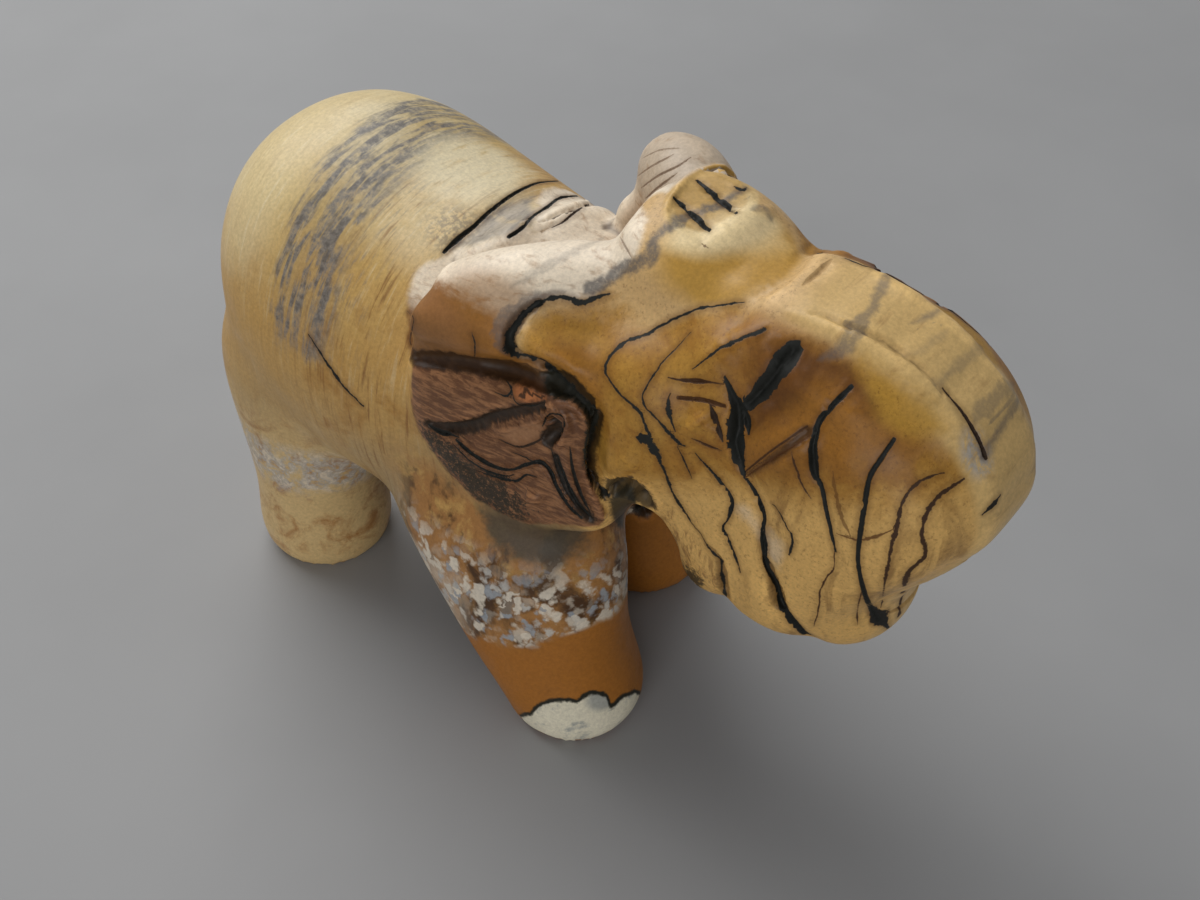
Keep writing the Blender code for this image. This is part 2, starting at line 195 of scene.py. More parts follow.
FINE_CUTS = {
    "nostril a": Stroke(
        0.2, 0.4, 1.0, "", ((675, 199), (692, 214), (709, 230)), (0.5, 0.8, 1.0, 1.5, 1.3, 0.7)
    ),
    "nostril b": Stroke(
        0.2, 0.4, 1.0, "", ((698, 181), (718, 198), (736, 213)), (0.5, 0.8, 1.0, 1.6, 1.3, 0.7)
    ),
    "eye top": Stroke(
        0.15, 0.3, 0.6, "head", ((670, 378), (680, 380), (706, 382), (722, 384)), THICK_MIDDLE
    ),
    "eye lid": Stroke(0.14, 0.3, 0.55, "head", ((680, 398), (692, 399), (708, 401), (724, 406)), EVEN),
    "eye front": Stroke(0.2, 0.3, 0.7, "head", ((711, 407), (716, 422), (722, 440))),
    "eye under": Stroke(0.1, 0.25, 0.6, "head", ((693, 439), (706, 445), (720, 450))),
    "brow gouge": Stroke(
        0.66, 0.5, 1.0, "head", ((793, 350), (778, 369), (763, 389), (749, 404)), (0.9, 1.1, 1.0, 0.9, 0.6)
    ),
    "gouge tail": Stroke(
        0.62, 0.45, 1.0, "head",
        ((725, 378), (732, 394), (738, 410), (739, 428), (735, 444), (738, 458), (745, 476)),
        (0.15, 0.4, 1.0, 1.1, 1.0, 0.8, 0.3),
    ),
    "gouge spur": Stroke(0.3, 0.3, 1.0, "head", ((740, 406), (747, 420), (749, 432)), FADING),
    "tusk upper": Stroke(0.07, 0.1, 0.6, "head", ((745, 472), (762, 458), (778, 446), (806, 427)), EVEN),
    "tusk lower": Stroke(0.06, 0.1, 0.5, "head", ((746, 477), (760, 467), (792, 447), (808, 437)), EVEN),
    "mouth": Stroke(
        0.17, 0.35, 1.0, "head", (
            (747, 480), (755, 492), (761, 505), (764, 517), (763, 531), (764, 544), (767, 566), (777, 585),
            (782, 603), (792, 620), (803, 632), (815, 640),
        ), (0.6, 1.0, 1.0, 0.7, 1.3, 1.0, 1.0, 0.9, 1.4, 2.2, 2.0, 1.0),
    ),
    "cheek wrinkle": Stroke(
        0.12, 0.25, 1.0, "head", (
            (696, 454), (702, 461), (714, 474), (722, 484), (730, 495), (732, 503), (728, 519), (723, 528),
            (730, 544), (734, 554), (740, 571),
        ), (0.3, 0.6, 0.9, 1.4, 1.3, 1.4, 0.4, 1.3, 0.8, 1.1, 0.5),
    ),
    "trunk cut": Stroke(
        0.2, 0.3, 1.0, "head", (
            (850, 388), (840, 398), (830, 408), (820, 420), (816, 432), (813, 447), (815, 474), (822, 488),
            (826, 509), (831, 531), (835, 550),
        ), (0.7, 0.9, 0.9, 1.0, 1.2, 1.5, 0.9, 0.8, 0.7, 0.7, 0.4),
    ),
    "second trunk cut": Stroke(
        0.15, 0.15, 0.9, "head", (
            (893, 441), (881, 459), (870, 477), (865, 502), (860, 535), (858, 560), (863, 588), (870, 606),
            (878, 620),
        ), (0.8, 1.0, 1.0, 1.1, 1.1, 0.9, 1.0, 1.2, 1.6),
    ),
    "strip edge": Stroke(0.17, 0.2, 0.7, "", ((944, 390), (963, 413), (978, 438), (985, 456)), SWELLING),
    "strip far edge": Stroke(
        0.15, 0.2, 0.8, "", (
            (847, 259), (860, 264), (885, 273), (913, 289), (946, 307), (971, 327), (992, 345), (1010, 366),
            (1022, 388),
        ), (0.5, 0.7, 1.5, 0.6, 1.5, 0.6, 0.7, 1.2, 1.6),
    ),
    "first ring": Stroke(0.25, 0.25, 0.2, "", ((831, 260), (817, 273), (804, 284))),
    "nape crease": Stroke(
        0.13, 0.4, 0.9, "",
        ((445, 251), (460, 237), (473, 227), (488, 213), (502, 202), (517, 192), (537, 183), (558, 181)),
        (1.0, 1.5, 1.2, 1.1, 1.0, 1.0, 0.8, 0.5),
    ),
    "second nape crease": Stroke(
        0.13, 0.35, 0.9, "", ((510, 236), (522, 228), (532, 217), (547, 207), (560, 198), (577, 196)),
        (1.2, 1.2, 0.9, 1.0, 1.2, 0.6),
    ),
    "third nape crease": Stroke(
        0.1, 0.3, 0.7, "", ((553, 227), (563, 222), (575, 212), (585, 206), (594, 204))
    ),
    "ear groove line": Stroke(
        0.22, 0.3, 1.0, "ear", ((430, 425), (440, 432), (450, 434), (458, 437)), THICK_MIDDLE
    ),
    "first ear line": Stroke(
        0.13, 0.3, 1.0, "ear", (
            (457, 441), (466, 449), (475, 456), (495, 467), (512, 470), (525, 465), (541, 462), (551, 472),
            (557, 487), (568, 505), (580, 517),
        ), EVEN,
    ),
    "second ear line": Stroke(
        0.12, 0.3, 1.0, "ear", ((455, 446), (470, 461), (487, 471), (505, 476), (513, 475))
    ),
    "third ear line": Stroke(
        0.11, 0.25, 1.0, "ear", ((478, 471), (495, 477), (515, 481), (526, 475), (536, 477))
    ),
    "hook line": Stroke(0.12, 0.25, 0.8, "ear", ((570, 448), (573, 470), (580, 492), (590, 512))),
    "strand line": Stroke(0.1, 0.25, 0.9, "ear", ((557, 455), (566, 478), (576, 500), (592, 518))),
    "second strand line": Stroke(0.08, 0.2, 0.8, "ear", ((551, 448), (558, 470), (566, 490), (578, 508))),
    "hook rim": Stroke(0.12, 0.3, 0.8, "ear", ((543, 425), (549, 415), (561, 415), (564, 425), (560, 438))),
    "ear leaf fold": Stroke(0.09, 0.2, 0.7, "ear", ((500, 440), (520, 447), (540, 440), (546, 430))),
    "far ear line": Stroke(0.1, 0.2, 0.35, "", ((641, 188), (658, 176), (678, 166), (690, 158))),
    "far ear second line": Stroke(0.1, 0.2, 0.35, "", ((646, 198), (660, 186), (676, 174))),
    "far ear third line": Stroke(0.1, 0.2, 0.3, "", ((638, 176), (654, 165), (672, 155))),
    "far ear fourth line": Stroke(0.08, 0.2, 0.25, "", ((643, 158), (660, 150), (680, 148))),
    "nape seam": Stroke(0.08, 0.15, 0.3, "", ((620, 237), (626, 248), (631, 257))),
}
DARK_VEINS = {
    "long vein": Stroke(
        0.1, 0, 1.0, "head", (
            (742, 302), (718, 306), (698, 309), (682, 315), (670, 321), (656, 329), (648, 334), (628, 341),
            (614, 352), (607, 361), (605, 370), (608, 378), (616, 389), (626, 400), (636, 408), (641, 413),
            (645, 424), (649, 434),
        ), (0.3, 0.6, 0.7, 0.9, 0.8, 0.9, 0.8, 1.1, 1.2, 1.4, 1.2, 1.0, 0.7, 0.7, 0.8, 1.2, 1.0, 1.4),
    ),
    "jaw clump": Stroke(
        0.36, 0, 1.0, "head", ((642, 438), (649, 440), (653, 449), (659, 457)), (0.9, 1.0, 0.9, 0.5)
    ),
    "chin vein": Stroke(
        0.09, 0, 1.0, "head", (
            (658, 457), (664, 470), (669, 484), (676, 499), (683, 509), (691, 522), (700, 533), (708, 546),
            (715, 554), (721, 560), (722, 571), (724, 583), (725, 593),
        ), (1.0, 1.2, 1.0, 1.2, 1.4, 1.0, 0.8, 0.6, 0.8, 1.2, 1.0, 1.2, 1.4),
    ),
    "brow vein": Stroke(
        0.13, 0, 0.95, "head",
        ((762, 331), (750, 335), (738, 340), (726, 345), (718, 350), (711, 356), (704, 361), (694, 368)),
        (1.0, 1.2, 0.9, 1.0, 0.8, 0.6, 0.5, 0.2),
    ),
    "eye vein": Stroke(
        0.07, 0, 0.9, "head", (
            (690, 334), (680, 344), (670, 354), (660, 366), (652, 378), (644, 392), (643, 401), (648, 410),
            (656, 419), (668, 432), (676, 440), (683, 446),
        ), (0.2, 0.4, 0.6, 0.7, 0.7, 0.8, 0.8, 0.9, 0.9, 1.5, 2.2, 0.8),
    ),
    "eye back": Stroke(
        0.12, 0, 1.0, "head", ((670, 395), (668, 402), (668, 409), (671, 418), (675, 430)),
        (0.5, 1.0, 1.4, 0.9, 0.3),
    ),
    "eye fork": Stroke(0.05, 0, 0.8, "head", ((678, 448), (684, 460), (688, 469), (692, 478))),
    "cheek outline": Stroke(
        0.16, 0, 1.0, "head",
        ((607, 294), (593, 299), (580, 303), (570, 299), (557, 297), (545, 300), (533, 307), (523, 316)),
        (0.5, 1.0, 1.2, 0.9, 0.7, 1.0, 1.1, 1.4),
    ),
    "cheek corner": Stroke(
        0.3, 0, 1.0, "head", ((523, 316), (515, 327), (510, 339), (511, 350), (518, 355)),
        (0.7, 0.9, 1.3, 1.0, 0.5),
    ),
    "cheek shadow": Stroke(
        0.25, 0, 1.0, "head",
        ((518, 355), (530, 356), (545, 361), (556, 371), (570, 388), (583, 400), (595, 412), (592, 425)),
        (0.5, 0.6, 0.9, 1.2, 1.2, 1.0, 0.9, 0.8),
    ),
    "cheek drip": Stroke(
        0.2, 0, 1.0, "head", ((592, 425), (587, 438), (585, 453), (588, 470), (593, 483), (607, 494)),
        THICK_ENDS,
    ),
    "first small vein": Stroke(
        0.1, 0, 0.95, "head", ((774, 505), (781, 516), (788, 528), (792, 537), (790, 554)),
        (0.4, 0.9, 1.0, 1.3, 0.7),
    ),
    "second small vein": Stroke(0.07, 0, 0.6, "head", ((792, 454), (797, 470), (803, 485), (810, 497))),
    "blue vein": Stroke(0.15, 0, 0.35, "head", ((833, 473), (836, 494), (841, 515), (850, 536))),
    "cross vein": Stroke(0.1, 0, 0.45, "head", ((838, 534), (857, 540), (875, 537), (892, 530))),
    "branch vein": Stroke(
        0.06, 0, 0.6, "head", ((835, 552), (834, 568), (826, 578), (820, 592), (819, 606), (814, 626))
    ),
    "flank line": Stroke(
        0.11, 0, 0.9, "", ((310, 336), (320, 352), (330, 368), (345, 388), (362, 405)),
        (0.5, 0.8, 1.3, 0.9, 0.6),
    ),
    "fan vein c": Stroke(
        0.14, 0, 0.65, "head",
        ((962, 480), (938, 496), (927, 513), (922, 534), (925, 556), (910, 570), (903, 592), (899, 614)),
        (0.5, 1.0, 1.0, 0.8, 1.0, 1.4, 1.1, 1.0),
    ),
    "fan vein d": Stroke(
        0.12, 0, 0.65, "head",
        ((942, 473), (920, 481), (904, 499), (897, 527), (890, 552), (885, 581), (881, 606)),
    ),
    "fan root": Stroke(0.65, 0, 0.8, "head", ((872, 608), (880, 618), (888, 628)), THICK_MIDDLE),
    "root thread": Stroke(0.06, 0, 0.6, "head", ((862, 590), (858, 606), (857, 624))),
    "front edge": Stroke(0.3, 0, 0.8, "", ((999, 496), (992, 506), (984, 513)), THICK_MIDDLE),
    "ear fan vein": Stroke(0.08, 0, 0.9, "ear", ((507, 382), (512, 390), (506, 396), (496, 393))),
    "patch vein": Stroke(0.06, 0, 0.9, "ear", ((512, 390), (516, 402), (530, 406), (545, 402))),
    "roll line": Stroke(0.06, 0, 0.9, "ear", ((472, 334), (475, 345), (475, 357))),
    "roll second line": Stroke(0.05, 0, 0.7, "ear", ((408, 312), (414, 320), (410, 340), (414, 352))),
    "ear spike": Stroke(0.06, 0, 0.8, "ear", ((512, 452), (524, 456), (534, 462))),
    "tip spot": Stroke(0.1, 0, 0.4, "", ((704, 245), (707, 247))),
    "crown end": Stroke(0.12, 0, 0.9, "", ((736, 187), (742, 190), (746, 188))),
}
SMOKE_STRIPES = {
    "crown stripe": Stroke(
        0.42, 0, 1.0, "", (
            (590, 287), (606, 280), (622, 270), (637, 263), (650, 255), (654, 243), (663, 232), (682, 220),
            (699, 213), (716, 206), (733, 195), (745, 188),
        ), (0.9, 1.1, 1.0, 1.0, 1.0, 0.7, 0.8, 0.9, 0.9, 0.9, 0.7, 0.5),
    ),
    "trunk stripe": Stroke(
        0.42, 0, 0.75, "",
        ((886, 276), (877, 298), (870, 312), (857, 327), (850, 338), (840, 350), (826, 357)),
        (0.6, 0.7, 0.8, 1.1, 1.0, 1.0, 0.5),
    ),
    "second ring stripe": Stroke(0.2, 0, 0.7, "", ((946, 307), (935, 313), (913, 324)), THICK_MIDDLE),
    "third ring stripe": Stroke(0.28, 0, 0.3, "", ((946, 332), (924, 348), (909, 355))),
    "fourth ring stripe": Stroke(0.34, 0, 0.4, "", ((981, 348), (963, 363), (945, 377), (938, 384)), EVEN),
    "fifth ring stripe": Stroke(0.45, 0, 0.5, "", ((1013, 384), (992, 402), (978, 416)), EVEN),
    "front stripe": Stroke(0.3, 0, 0.7, "", ((1018, 400), (1003, 424), (992, 442), (985, 454)), EVEN),
    "ear streak": Stroke(
        0.35, 0, 0.4, "", ((513, 285), (530, 277), (553, 262), (572, 252), (585, 247), (603, 238))
    ),
    "cheek shade": Stroke(
        0.6, 0, 0.75, "",
        ((560, 292), (545, 295), (530, 302), (517, 314), (506, 328), (500, 340), (505, 350)),
        (0.2, 0.4, 0.7, 0.9, 1.1, 1.2, 0.6),
    ),
    "tip mark": Stroke(0.3, 0, 0.7, "", ((755, 208), (762, 207), (766, 211), (769, 216)), EVEN),
    "chin sheen": Stroke(0.3, 0, 0.35, "", ((763, 528), (764, 540), (766, 552))),
}

# Rings across the lower front of the trunk: their heights and half span, in mm.
RING = Stroke(0.35, 0.28, 0.2, "", ())
RING_HEIGHTS = (33.0, 30.2, 27.4, 24.8)
RING_HALF_SPAN = 3.0
RING_SAG = 0.6

# Outlines of coloured areas, in pixels of the photograph, and the shift of their left twin.
# An area without a twin covers only what the photograph's viewpoint sees.
Area = namedtuple("Area", "twin least_side outline")
AREAS = {
    "ear_fan": Area(
        "ear", 5.0, (
            (414, 356), (452, 358), (490, 363), (525, 370), (550, 383), (585, 402), (592, 415), (585, 452),
            (590, 478), (606, 520), (590, 527), (560, 524), (520, 521), (470, 494), (430, 448), (412, 410),
        ),
    ),
    "ear_roll": Area(
        "ear", 0.0, (
            (407, 325), (409, 290), (430, 262), (500, 236), (560, 216), (600, 205), (640, 206), (645, 230),
            (632, 260), (606, 286), (580, 300), (560, 296), (535, 304), (514, 326), (508, 344), (514, 354),
            (535, 357), (547, 363), (556, 375), (567, 391), (542, 386), (514, 372), (475, 362), (414, 357),
        ),
    ),
    "ear_moss": Area(
        "ear", 5.0, (
            (420, 427), (440, 434), (457, 447), (477, 466), (500, 478), (515, 490), (521, 506), (531, 517),
            (515, 519), (490, 511), (465, 492), (442, 464), (426, 447),
        ),
    ),
    "ear_patch": Area(
        "ear", 5.0,
        ((515, 380), (527, 377), (540, 383), (547, 394), (545, 403), (530, 405), (516, 399), (512, 389)),
    ),
    "ear_leaf": Area(
        "ear", 5.0, ((498, 431), (520, 425), (541, 419), (546, 430), (538, 442), (522, 449), (505, 442))
    ),
    # Dark seam between the ear and the cheek: partly painted shade, partly the stone's black mottling.
    "ear_pocket": Area(
        "head", 4.0, (
            (546, 372), (555, 371), (570, 388), (584, 400), (597, 411), (599, 420), (592, 440), (587, 458),
            (593, 482), (606, 495), (600, 498), (588, 480), (583, 455), (586, 430), (584, 412), (572, 402),
            (553, 398), (545, 388),
        ),
    ),
    # Painted shadow under the trunk's rolled shoulder.
    "shoulder_shadow": Area(
        "head", 3.0, (
            (765, 330), (800, 335), (850, 362), (885, 385), (890, 420), (862, 412), (840, 385), (822, 385),
            (800, 405), (770, 430), (752, 428), (748, 385), (752, 350),
        ),
    ),
    # Pale sheen on the lip: partly whitish chalcedony, partly a painted reflection.
    "lip_sheen": Area(
        "head", 3.0,
        ((730, 506), (742, 502), (756, 512), (762, 526), (784, 541), (782, 570), (768, 560), (756, 536)),
    ),
    "nape": Area(
        "head", 0.0,
        ((445, 252), (473, 228), (502, 203), (537, 184), (562, 181), (604, 203), (560, 220), (510, 238)),
    ),
    "tip_facet": Area(
        "", 0.0, (
            (673, 213), (675, 199), (685, 189), (699, 180), (711, 174), (723, 173), (737, 187), (750, 197),
            (744, 209), (724, 221), (712, 230), (700, 234), (684, 228),
        ),
    ),
    "chin_moss": Area(
        "head", 3.0, (
            (652, 536), (661, 539), (665, 551), (672, 546), (679, 560), (692, 568), (702, 576), (704, 590),
            (690, 587), (672, 572), (658, 556),
        ),
    ),
    # Painted shade in the hollow between the ear's tip and the jaw.
    "jaw_recess_shade": Area(
        "head", 4.0, (
            (604, 497), (610, 491), (616, 484), (624, 479), (632, 479), (638, 485), (641, 497), (643, 506),
            (648, 509), (646, 522), (648, 534), (634, 534), (616, 530), (606, 516),
        ),
    ),
    "jaw_under": Area(
        "head", 3.0, (
            (646, 500), (665, 500), (680, 520), (700, 548), (718, 570), (724, 594), (700, 590), (670, 572),
            (648, 540),
        ),
    ),
    "face": Area(
        "head", 0.0, (
            (742, 302), (718, 306), (698, 309), (670, 321), (648, 334), (620, 345), (607, 361), (608, 378),
            (626, 400), (645, 424), (700, 470), (760, 480), (860, 420), (900, 400), (850, 360), (800, 330),
        ),
    ),
    "gold": Area(
        "head", 2.5, (
            (850, 338), (877, 356), (912, 378), (942, 405), (955, 430), (940, 442), (912, 446), (880, 430),
            (862, 400), (850, 365),
        ),
    ),
    "toe": Area(
        "", 2.0, (
            (506, 724), (514, 719), (532, 714), (536, 708), (549, 702), (566, 701), (577, 702), (586, 696),
            (597, 693), (606, 697), (611, 709), (619, 700), (628, 695), (640, 694), (640, 720), (600, 748),
            (553, 752), (510, 735),
        ),
    ),
}


def photo_axes():
    """The viewpoint's right, up and forward directions."""
    heading = math.radians(CAMERA_HEADING)
    tilt = math.radians(CAMERA_TILT)
    roll = math.radians(CAMERA_ROLL)
    ahead = Vector((math.cos(heading) * math.cos(tilt), math.sin(heading) * math.cos(tilt), math.sin(tilt)))
    level = Vector((math.sin(heading), -math.cos(heading), 0.0))
    upright = level.cross(ahead)
    right = level * math.cos(roll) + upright * math.sin(roll)
    up = upright * math.cos(roll) - level * math.sin(roll)
    return right, up, ahead


def on_skin(tree, pixel):
    """Where a pixel of the photograph meets the skin, or None beside it."""
    right, up, ahead = photo_axes()
    across = (pixel[0] - PHOTO_WIDTH / 2) / FOCAL_PIXELS
    above = (PHOTO_HEIGHT / 2 - pixel[1]) / FOCAL_PIXELS
    direction = (ahead + right * across + up * above).normalized()
    return tree.ray_cast(Vector(CAMERA_PLACE) * MM, direction)[0]


def in_sight(tree, places):
    """Which places, given in metres, the photograph's viewpoint sees."""
    eye = Vector(CAMERA_PLACE) * MM
    seen = []
    for place in places:
        ahead = Vector(place) - eye
        reach = tree.ray_cast(eye, ahead)[3]
        seen.append(reach is not None and reach > ahead.length - SIGHT_SLACK)
    return np.array(seen)


def to_pixels(places):
    """Pixels of places given in metres, one place a row, and their distance ahead in mm."""
    right, up, ahead = (np.array(axis) for axis in photo_axes())
    offsets = places / MM - np.array(CAMERA_PLACE)
    depth = offsets @ ahead
    across = offsets @ right / depth * FOCAL_PIXELS + PHOTO_WIDTH / 2
    down = PHOTO_HEIGHT / 2 - offsets @ up / depth * FOCAL_PIXELS
    return np.stack([across, down], axis=1), depth


def smooth_route(points, step):
    """A Catmull-Rom curve through the points, sampled about every step."""
    p = [np.array(q, float) for q in points]
    made = []
    for i in range(len(p) - 1):
        a, b, c, d = p[max(i - 1, 0)], p[i], p[i + 1], p[min(i + 2, len(p) - 1)]
        count = max(2, int(np.linalg.norm(c - b) / step))
        for t in np.arange(count) / count:
            cubic = (3 * b - a - 3 * c + d) * t**3
            made.append(0.5 * (2 * b + (c - a) * t + (2 * a - 5 * b + 4 * c - d) * t**2 + cubic))
    made.append(p[-1])
    return made


def skin_tree(mesh):
    return BVHTree.FromPolygons([v.co for v in mesh.vertices], [p.vertices for p in mesh.polygons])


def stroke_rows(order, stroke, places, wander=0.2):
    """One row a point of a stroke: its place, heading, half width, depth and ink."""
    rows = []
    last = len(places) - 1
    stations = np.linspace(0, last, len(stroke.shape))
    for i, here in enumerate(places):
        before, after = places[max(i - 1, 0)], places[min(i + 1, last)]
        if here is None or before is None or after is None:
            continue
        if (after - before).length > 2 * FARTHEST_JUMP * MM:
            continue
        share = float(np.interp(i, stations, stroke.shape))
        share *= 1 + wander * noise.noise(Vector((order * 7.3, i * 0.21, 0)))
        half_width = stroke.half_width * MM * share
        heading = (after - before).normalized()
        rows.append((here, heading, half_width, stroke.depth * MM * min(share, 1.0), stroke.ink))
    return rows


def trembling(order, route, tremble):
    """A route's points, each moved by up to about as many pixels as asked."""
    points = smooth_route(route, ROUTE_STEP)
    moved = []
    for i, point in enumerate(points):
        fine = noise.noise_vector(Vector((order * 5.1, i * 0.35, 9)))
        slow = noise.noise_vector(Vector((order * 5.1, i * 0.09, 2)))
        moved.append(point + tremble * np.array((0.6 * fine.x + slow.x, 0.6 * fine.y + slow.y)))
    return moved


def lay_strokes(tree, strokes, drift, tremble, wander=0.2):
    """Rows of all strokes on the right side, and of their twins on the left.

    A twin that only colours the stone is left out where the photograph's viewpoint sees it.
    """
    rows = []
    twins = []
    for order, stroke in enumerate(strokes.values()):
        places = [on_skin(tree, pixel) for pixel in trembling(order, stroke.route, tremble)]
        rows += stroke_rows(order, stroke, places, wander)
        if not stroke.twin:
            continue
        shift = Vector(TWIN_SHIFT[stroke.twin]) * MM
        mirrored = []
        for i, here in enumerate(places):
            if here is None:
                mirrored.append(None)
                continue
            stray = noise.noise_vector(Vector((order * 3.7, i * 0.02, 5))) * drift * MM
            twin = tree.find_nearest(Vector((-here.x, here.y, here.z)) + shift + stray)[0]
            shown = stroke.depth == 0 and in_sight(tree, [twin])[0]
            mirrored.append(None if shown else twin)
        twins += stroke_rows(order + 100, stroke, mirrored, wander)
    return rows, twins


def front_rings(tree):
    """Rows of the rings across the lower front of the trunk."""
    rows = []
    for order, height in enumerate(RING_HEIGHTS):
        places = []
        for across in np.linspace(-RING_HALF_SPAN, RING_HALF_SPAN, 40):
            sag = RING_SAG * (1 - (across / RING_HALF_SPAN) ** 2)
            start = Vector((across, FRONT, height - sag)) * MM
            places.append(tree.ray_cast(start, Vector((0, 1, 0)))[0])
        rows += stroke_rows(order + 200, RING, places)
    return rows


def stroke_points(name, rows):
    """A mesh of loose points that carries each stroke's sizes as attributes."""
    mesh = bpy.data.meshes.new(name)
    mesh.from_pydata([row[0] for row in rows], [], [])
    heading = mesh.attributes.new("heading", "FLOAT_VECTOR", "POINT")
    heading.data.foreach_set("vector", [part for row in rows for part in row[1]])
    for column, attribute in enumerate(("half_width", "depth", "ink"), start=2):
        layer = mesh.attributes.new(attribute, "FLOAT", "POINT")
        layer.data.foreach_set("value", [row[column] for row in rows])
    obj = bpy.data.objects.new(name, mesh)
    bpy.context.scene.collection.objects.link(obj)
    return obj


class NodeBench:
    """Adds and links the nodes of one node tree."""

    def __init__(self, tree):
        self.tree = tree
        self.count = 0

    def node(self, kind, inputs=None, **settings):
        """A node with its settings, and its inputs by name or place as values or sockets."""
        made = self.tree.nodes.new(kind)
        made.location = (190 * (self.count // 5), -210 * (self.count % 5))
        self.count += 1
        for key, value in settings.items():
            setattr(made, key, value)
        for key, value in (inputs or {}).items():
            socket = made.inputs[key]
            if isinstance(value, bpy.types.NodeSocket):
                self.tree.links.new(value, socket)
            else:
                socket.default_value = value
        return made

    def math(self, operation, first, second=0.0, third=0.0, clamp=False):
        inputs = {0: first, 1: second, 2: third}
        return self.node("ShaderNodeMath", inputs, operation=operation, use_clamp=clamp).outputs[0]

    def vector(self, operation, first, second=(0.0, 0.0, 0.0), scale=1.0):
        made = self.node("ShaderNodeVectorMath", {0: first, 1: second, 3: scale}, operation=operation)
        return made.outputs["Value" if operation in ("DOT_PRODUCT", "LENGTH", "DISTANCE") else "Vector"]


def stroke_press():
    """Presses strokes into a skin and marks on it where each one runs.

    Each point of the skin answers to the nearest point of a stroke. It keeps how far
    beside the stroke it lies, the stroke's half width there, and its ink.
    """
    group = bpy.data.node_groups.new("press strokes", "GeometryNodeTree")
    face = group.interface
    kinds = {"Skin": "Geometry", "Strokes": "Object"}
    kinds |= dict.fromkeys(("Depth", "Roundness", "Margin"), "Float")
    kinds |= dict.fromkeys(("Side Name", "Width Name", "Ink Name", "Gap Name"), "String")
    kinds["Stone"] = "Material"
    for name, kind in kinds.items():
        face.new_socket(name, in_out="INPUT", socket_type="NodeSocket" + kind)
    face.new_socket("Skin", in_out="OUTPUT", socket_type="NodeSocketGeometry")
    b = NodeBench(group)
    start = b.node("NodeGroupInput").outputs
    strokes = b.node("GeometryNodeObjectInfo", {"Object": start["Strokes"]}).outputs["Geometry"]
    nearest = b.node("GeometryNodeSampleNearest", {"Geometry": strokes}, domain="POINT").outputs[0]
    place = b.node("GeometryNodeInputPosition").outputs[0]
    normal = b.node("GeometryNodeInputNormal").outputs[0]

    def at_nearest(value, data_type):
        inputs = {"Geometry": strokes, "Value": value, "Index": nearest}
        return b.node("GeometryNodeSampleIndex", inputs, data_type=data_type, domain="POINT").outputs[0]

    def named(name, data_type):
        return b.node("GeometryNodeInputNamedAttribute", {"Name": name}, data_type=data_type).outputs[0]

    half_width = at_nearest(named("half_width", "FLOAT"), "FLOAT")
    depth = at_nearest(named("depth", "FLOAT"), "FLOAT")
    ink = at_nearest(named("ink", "FLOAT"), "FLOAT")
    heading = at_nearest(named("heading", "FLOAT_VECTOR"), "FLOAT_VECTOR")
    offset = b.vector("SUBTRACT", place, at_nearest(place, "FLOAT_VECTOR"))
    gap = b.vector("LENGTH", offset)
    beside = b.vector("DOT_PRODUCT", b.vector("CROSS_PRODUCT", normal, heading), offset)
    along = b.math("ABSOLUTE", b.vector("DOT_PRODUCT", heading, offset))
    overrun = b.math("MAXIMUM", b.math("SUBTRACT", along, OVERRUN * MM), 0.0)
    reach = b.math("MINIMUM", b.math("DIVIDE", gap, half_width), 1.0)
    bowl = b.math("SUBTRACT", 1.0, b.math("POWER", reach, start["Roundness"]), clamp=True)
    push = b.math("MULTIPLY", b.math("MULTIPLY", b.math("POWER", bowl, 1.3), depth), start["Depth"])
    push = b.vector("SCALE", normal, scale=b.math("MULTIPLY", push, -1.0))
    skin = b.node("GeometryNodeSetPosition", {"Geometry": start["Skin"], "Offset": push}).outputs[0]
    past = b.math("SUBTRACT", gap, b.math("ADD", half_width, start["Margin"]))
    loss = b.math("MULTIPLY", b.math("MAXIMUM", past, 0.0), THINNING)
    width_left = b.math("SUBTRACT", b.math("SUBTRACT", half_width, overrun), loss)
    width_left = b.math("DIVIDE", width_left, MM)
    kept = {
        "Side Name": b.math("DIVIDE", beside, MM),
        "Width Name": b.math("MAXIMUM", width_left, -OUTSIDE),
        "Ink Name": ink,
        "Gap Name": b.math("DIVIDE", b.math("SUBTRACT", gap, half_width), MM),
    }
    store = "GeometryNodeStoreNamedAttribute"
    for name, value in kept.items():
        inputs = {"Geometry": skin, "Name": start[name], "Value": value}
        skin = b.node(store, inputs, data_type="FLOAT", domain="POINT").outputs[0]
    skin = b.node("GeometryNodeRealizeInstances", {"Geometry": skin}).outputs[0]
    skin = b.node("GeometryNodeSetMaterial", {"Geometry": skin, "Material": start["Stone"]}).outputs[0]
    b.node("NodeGroupOutput", {0: skin})
    return group


def settle(obj):
    """Replaces an object's mesh with its evaluated one, and removes the modifiers."""
    bpy.context.view_layer.update()
    made = bpy.data.meshes.new_from_object(obj.evaluated_get(bpy.context.evaluated_depsgraph_get()))
    obj.modifiers.clear()
    obj.data = made


def press(obj, group, stone, name, rows, depth, roundness, margin):
    """Runs the stroke tree once over the skin with one family of strokes."""
    strokes = stroke_points(name, rows)
    modifier = obj.modifiers.new(name, "NODES")
    modifier.node_group = group
    values = {
        "Strokes": strokes,
        "Depth": depth,
        "Roundness": roundness,
        "Margin": margin * MM,
        "Side Name": name + "_side",
        "Width Name": name + "_width",
        "Ink Name": name + "_ink",
        "Gap Name": name + "_gap",
        "Stone": stone,
    }
    for item in group.interface.items_tree:
        if item.in_out == "INPUT" and item.name in values:
            modifier[item.identifier] = values[item.name]
    settle(obj)
    bpy.data.objects.remove(strokes)


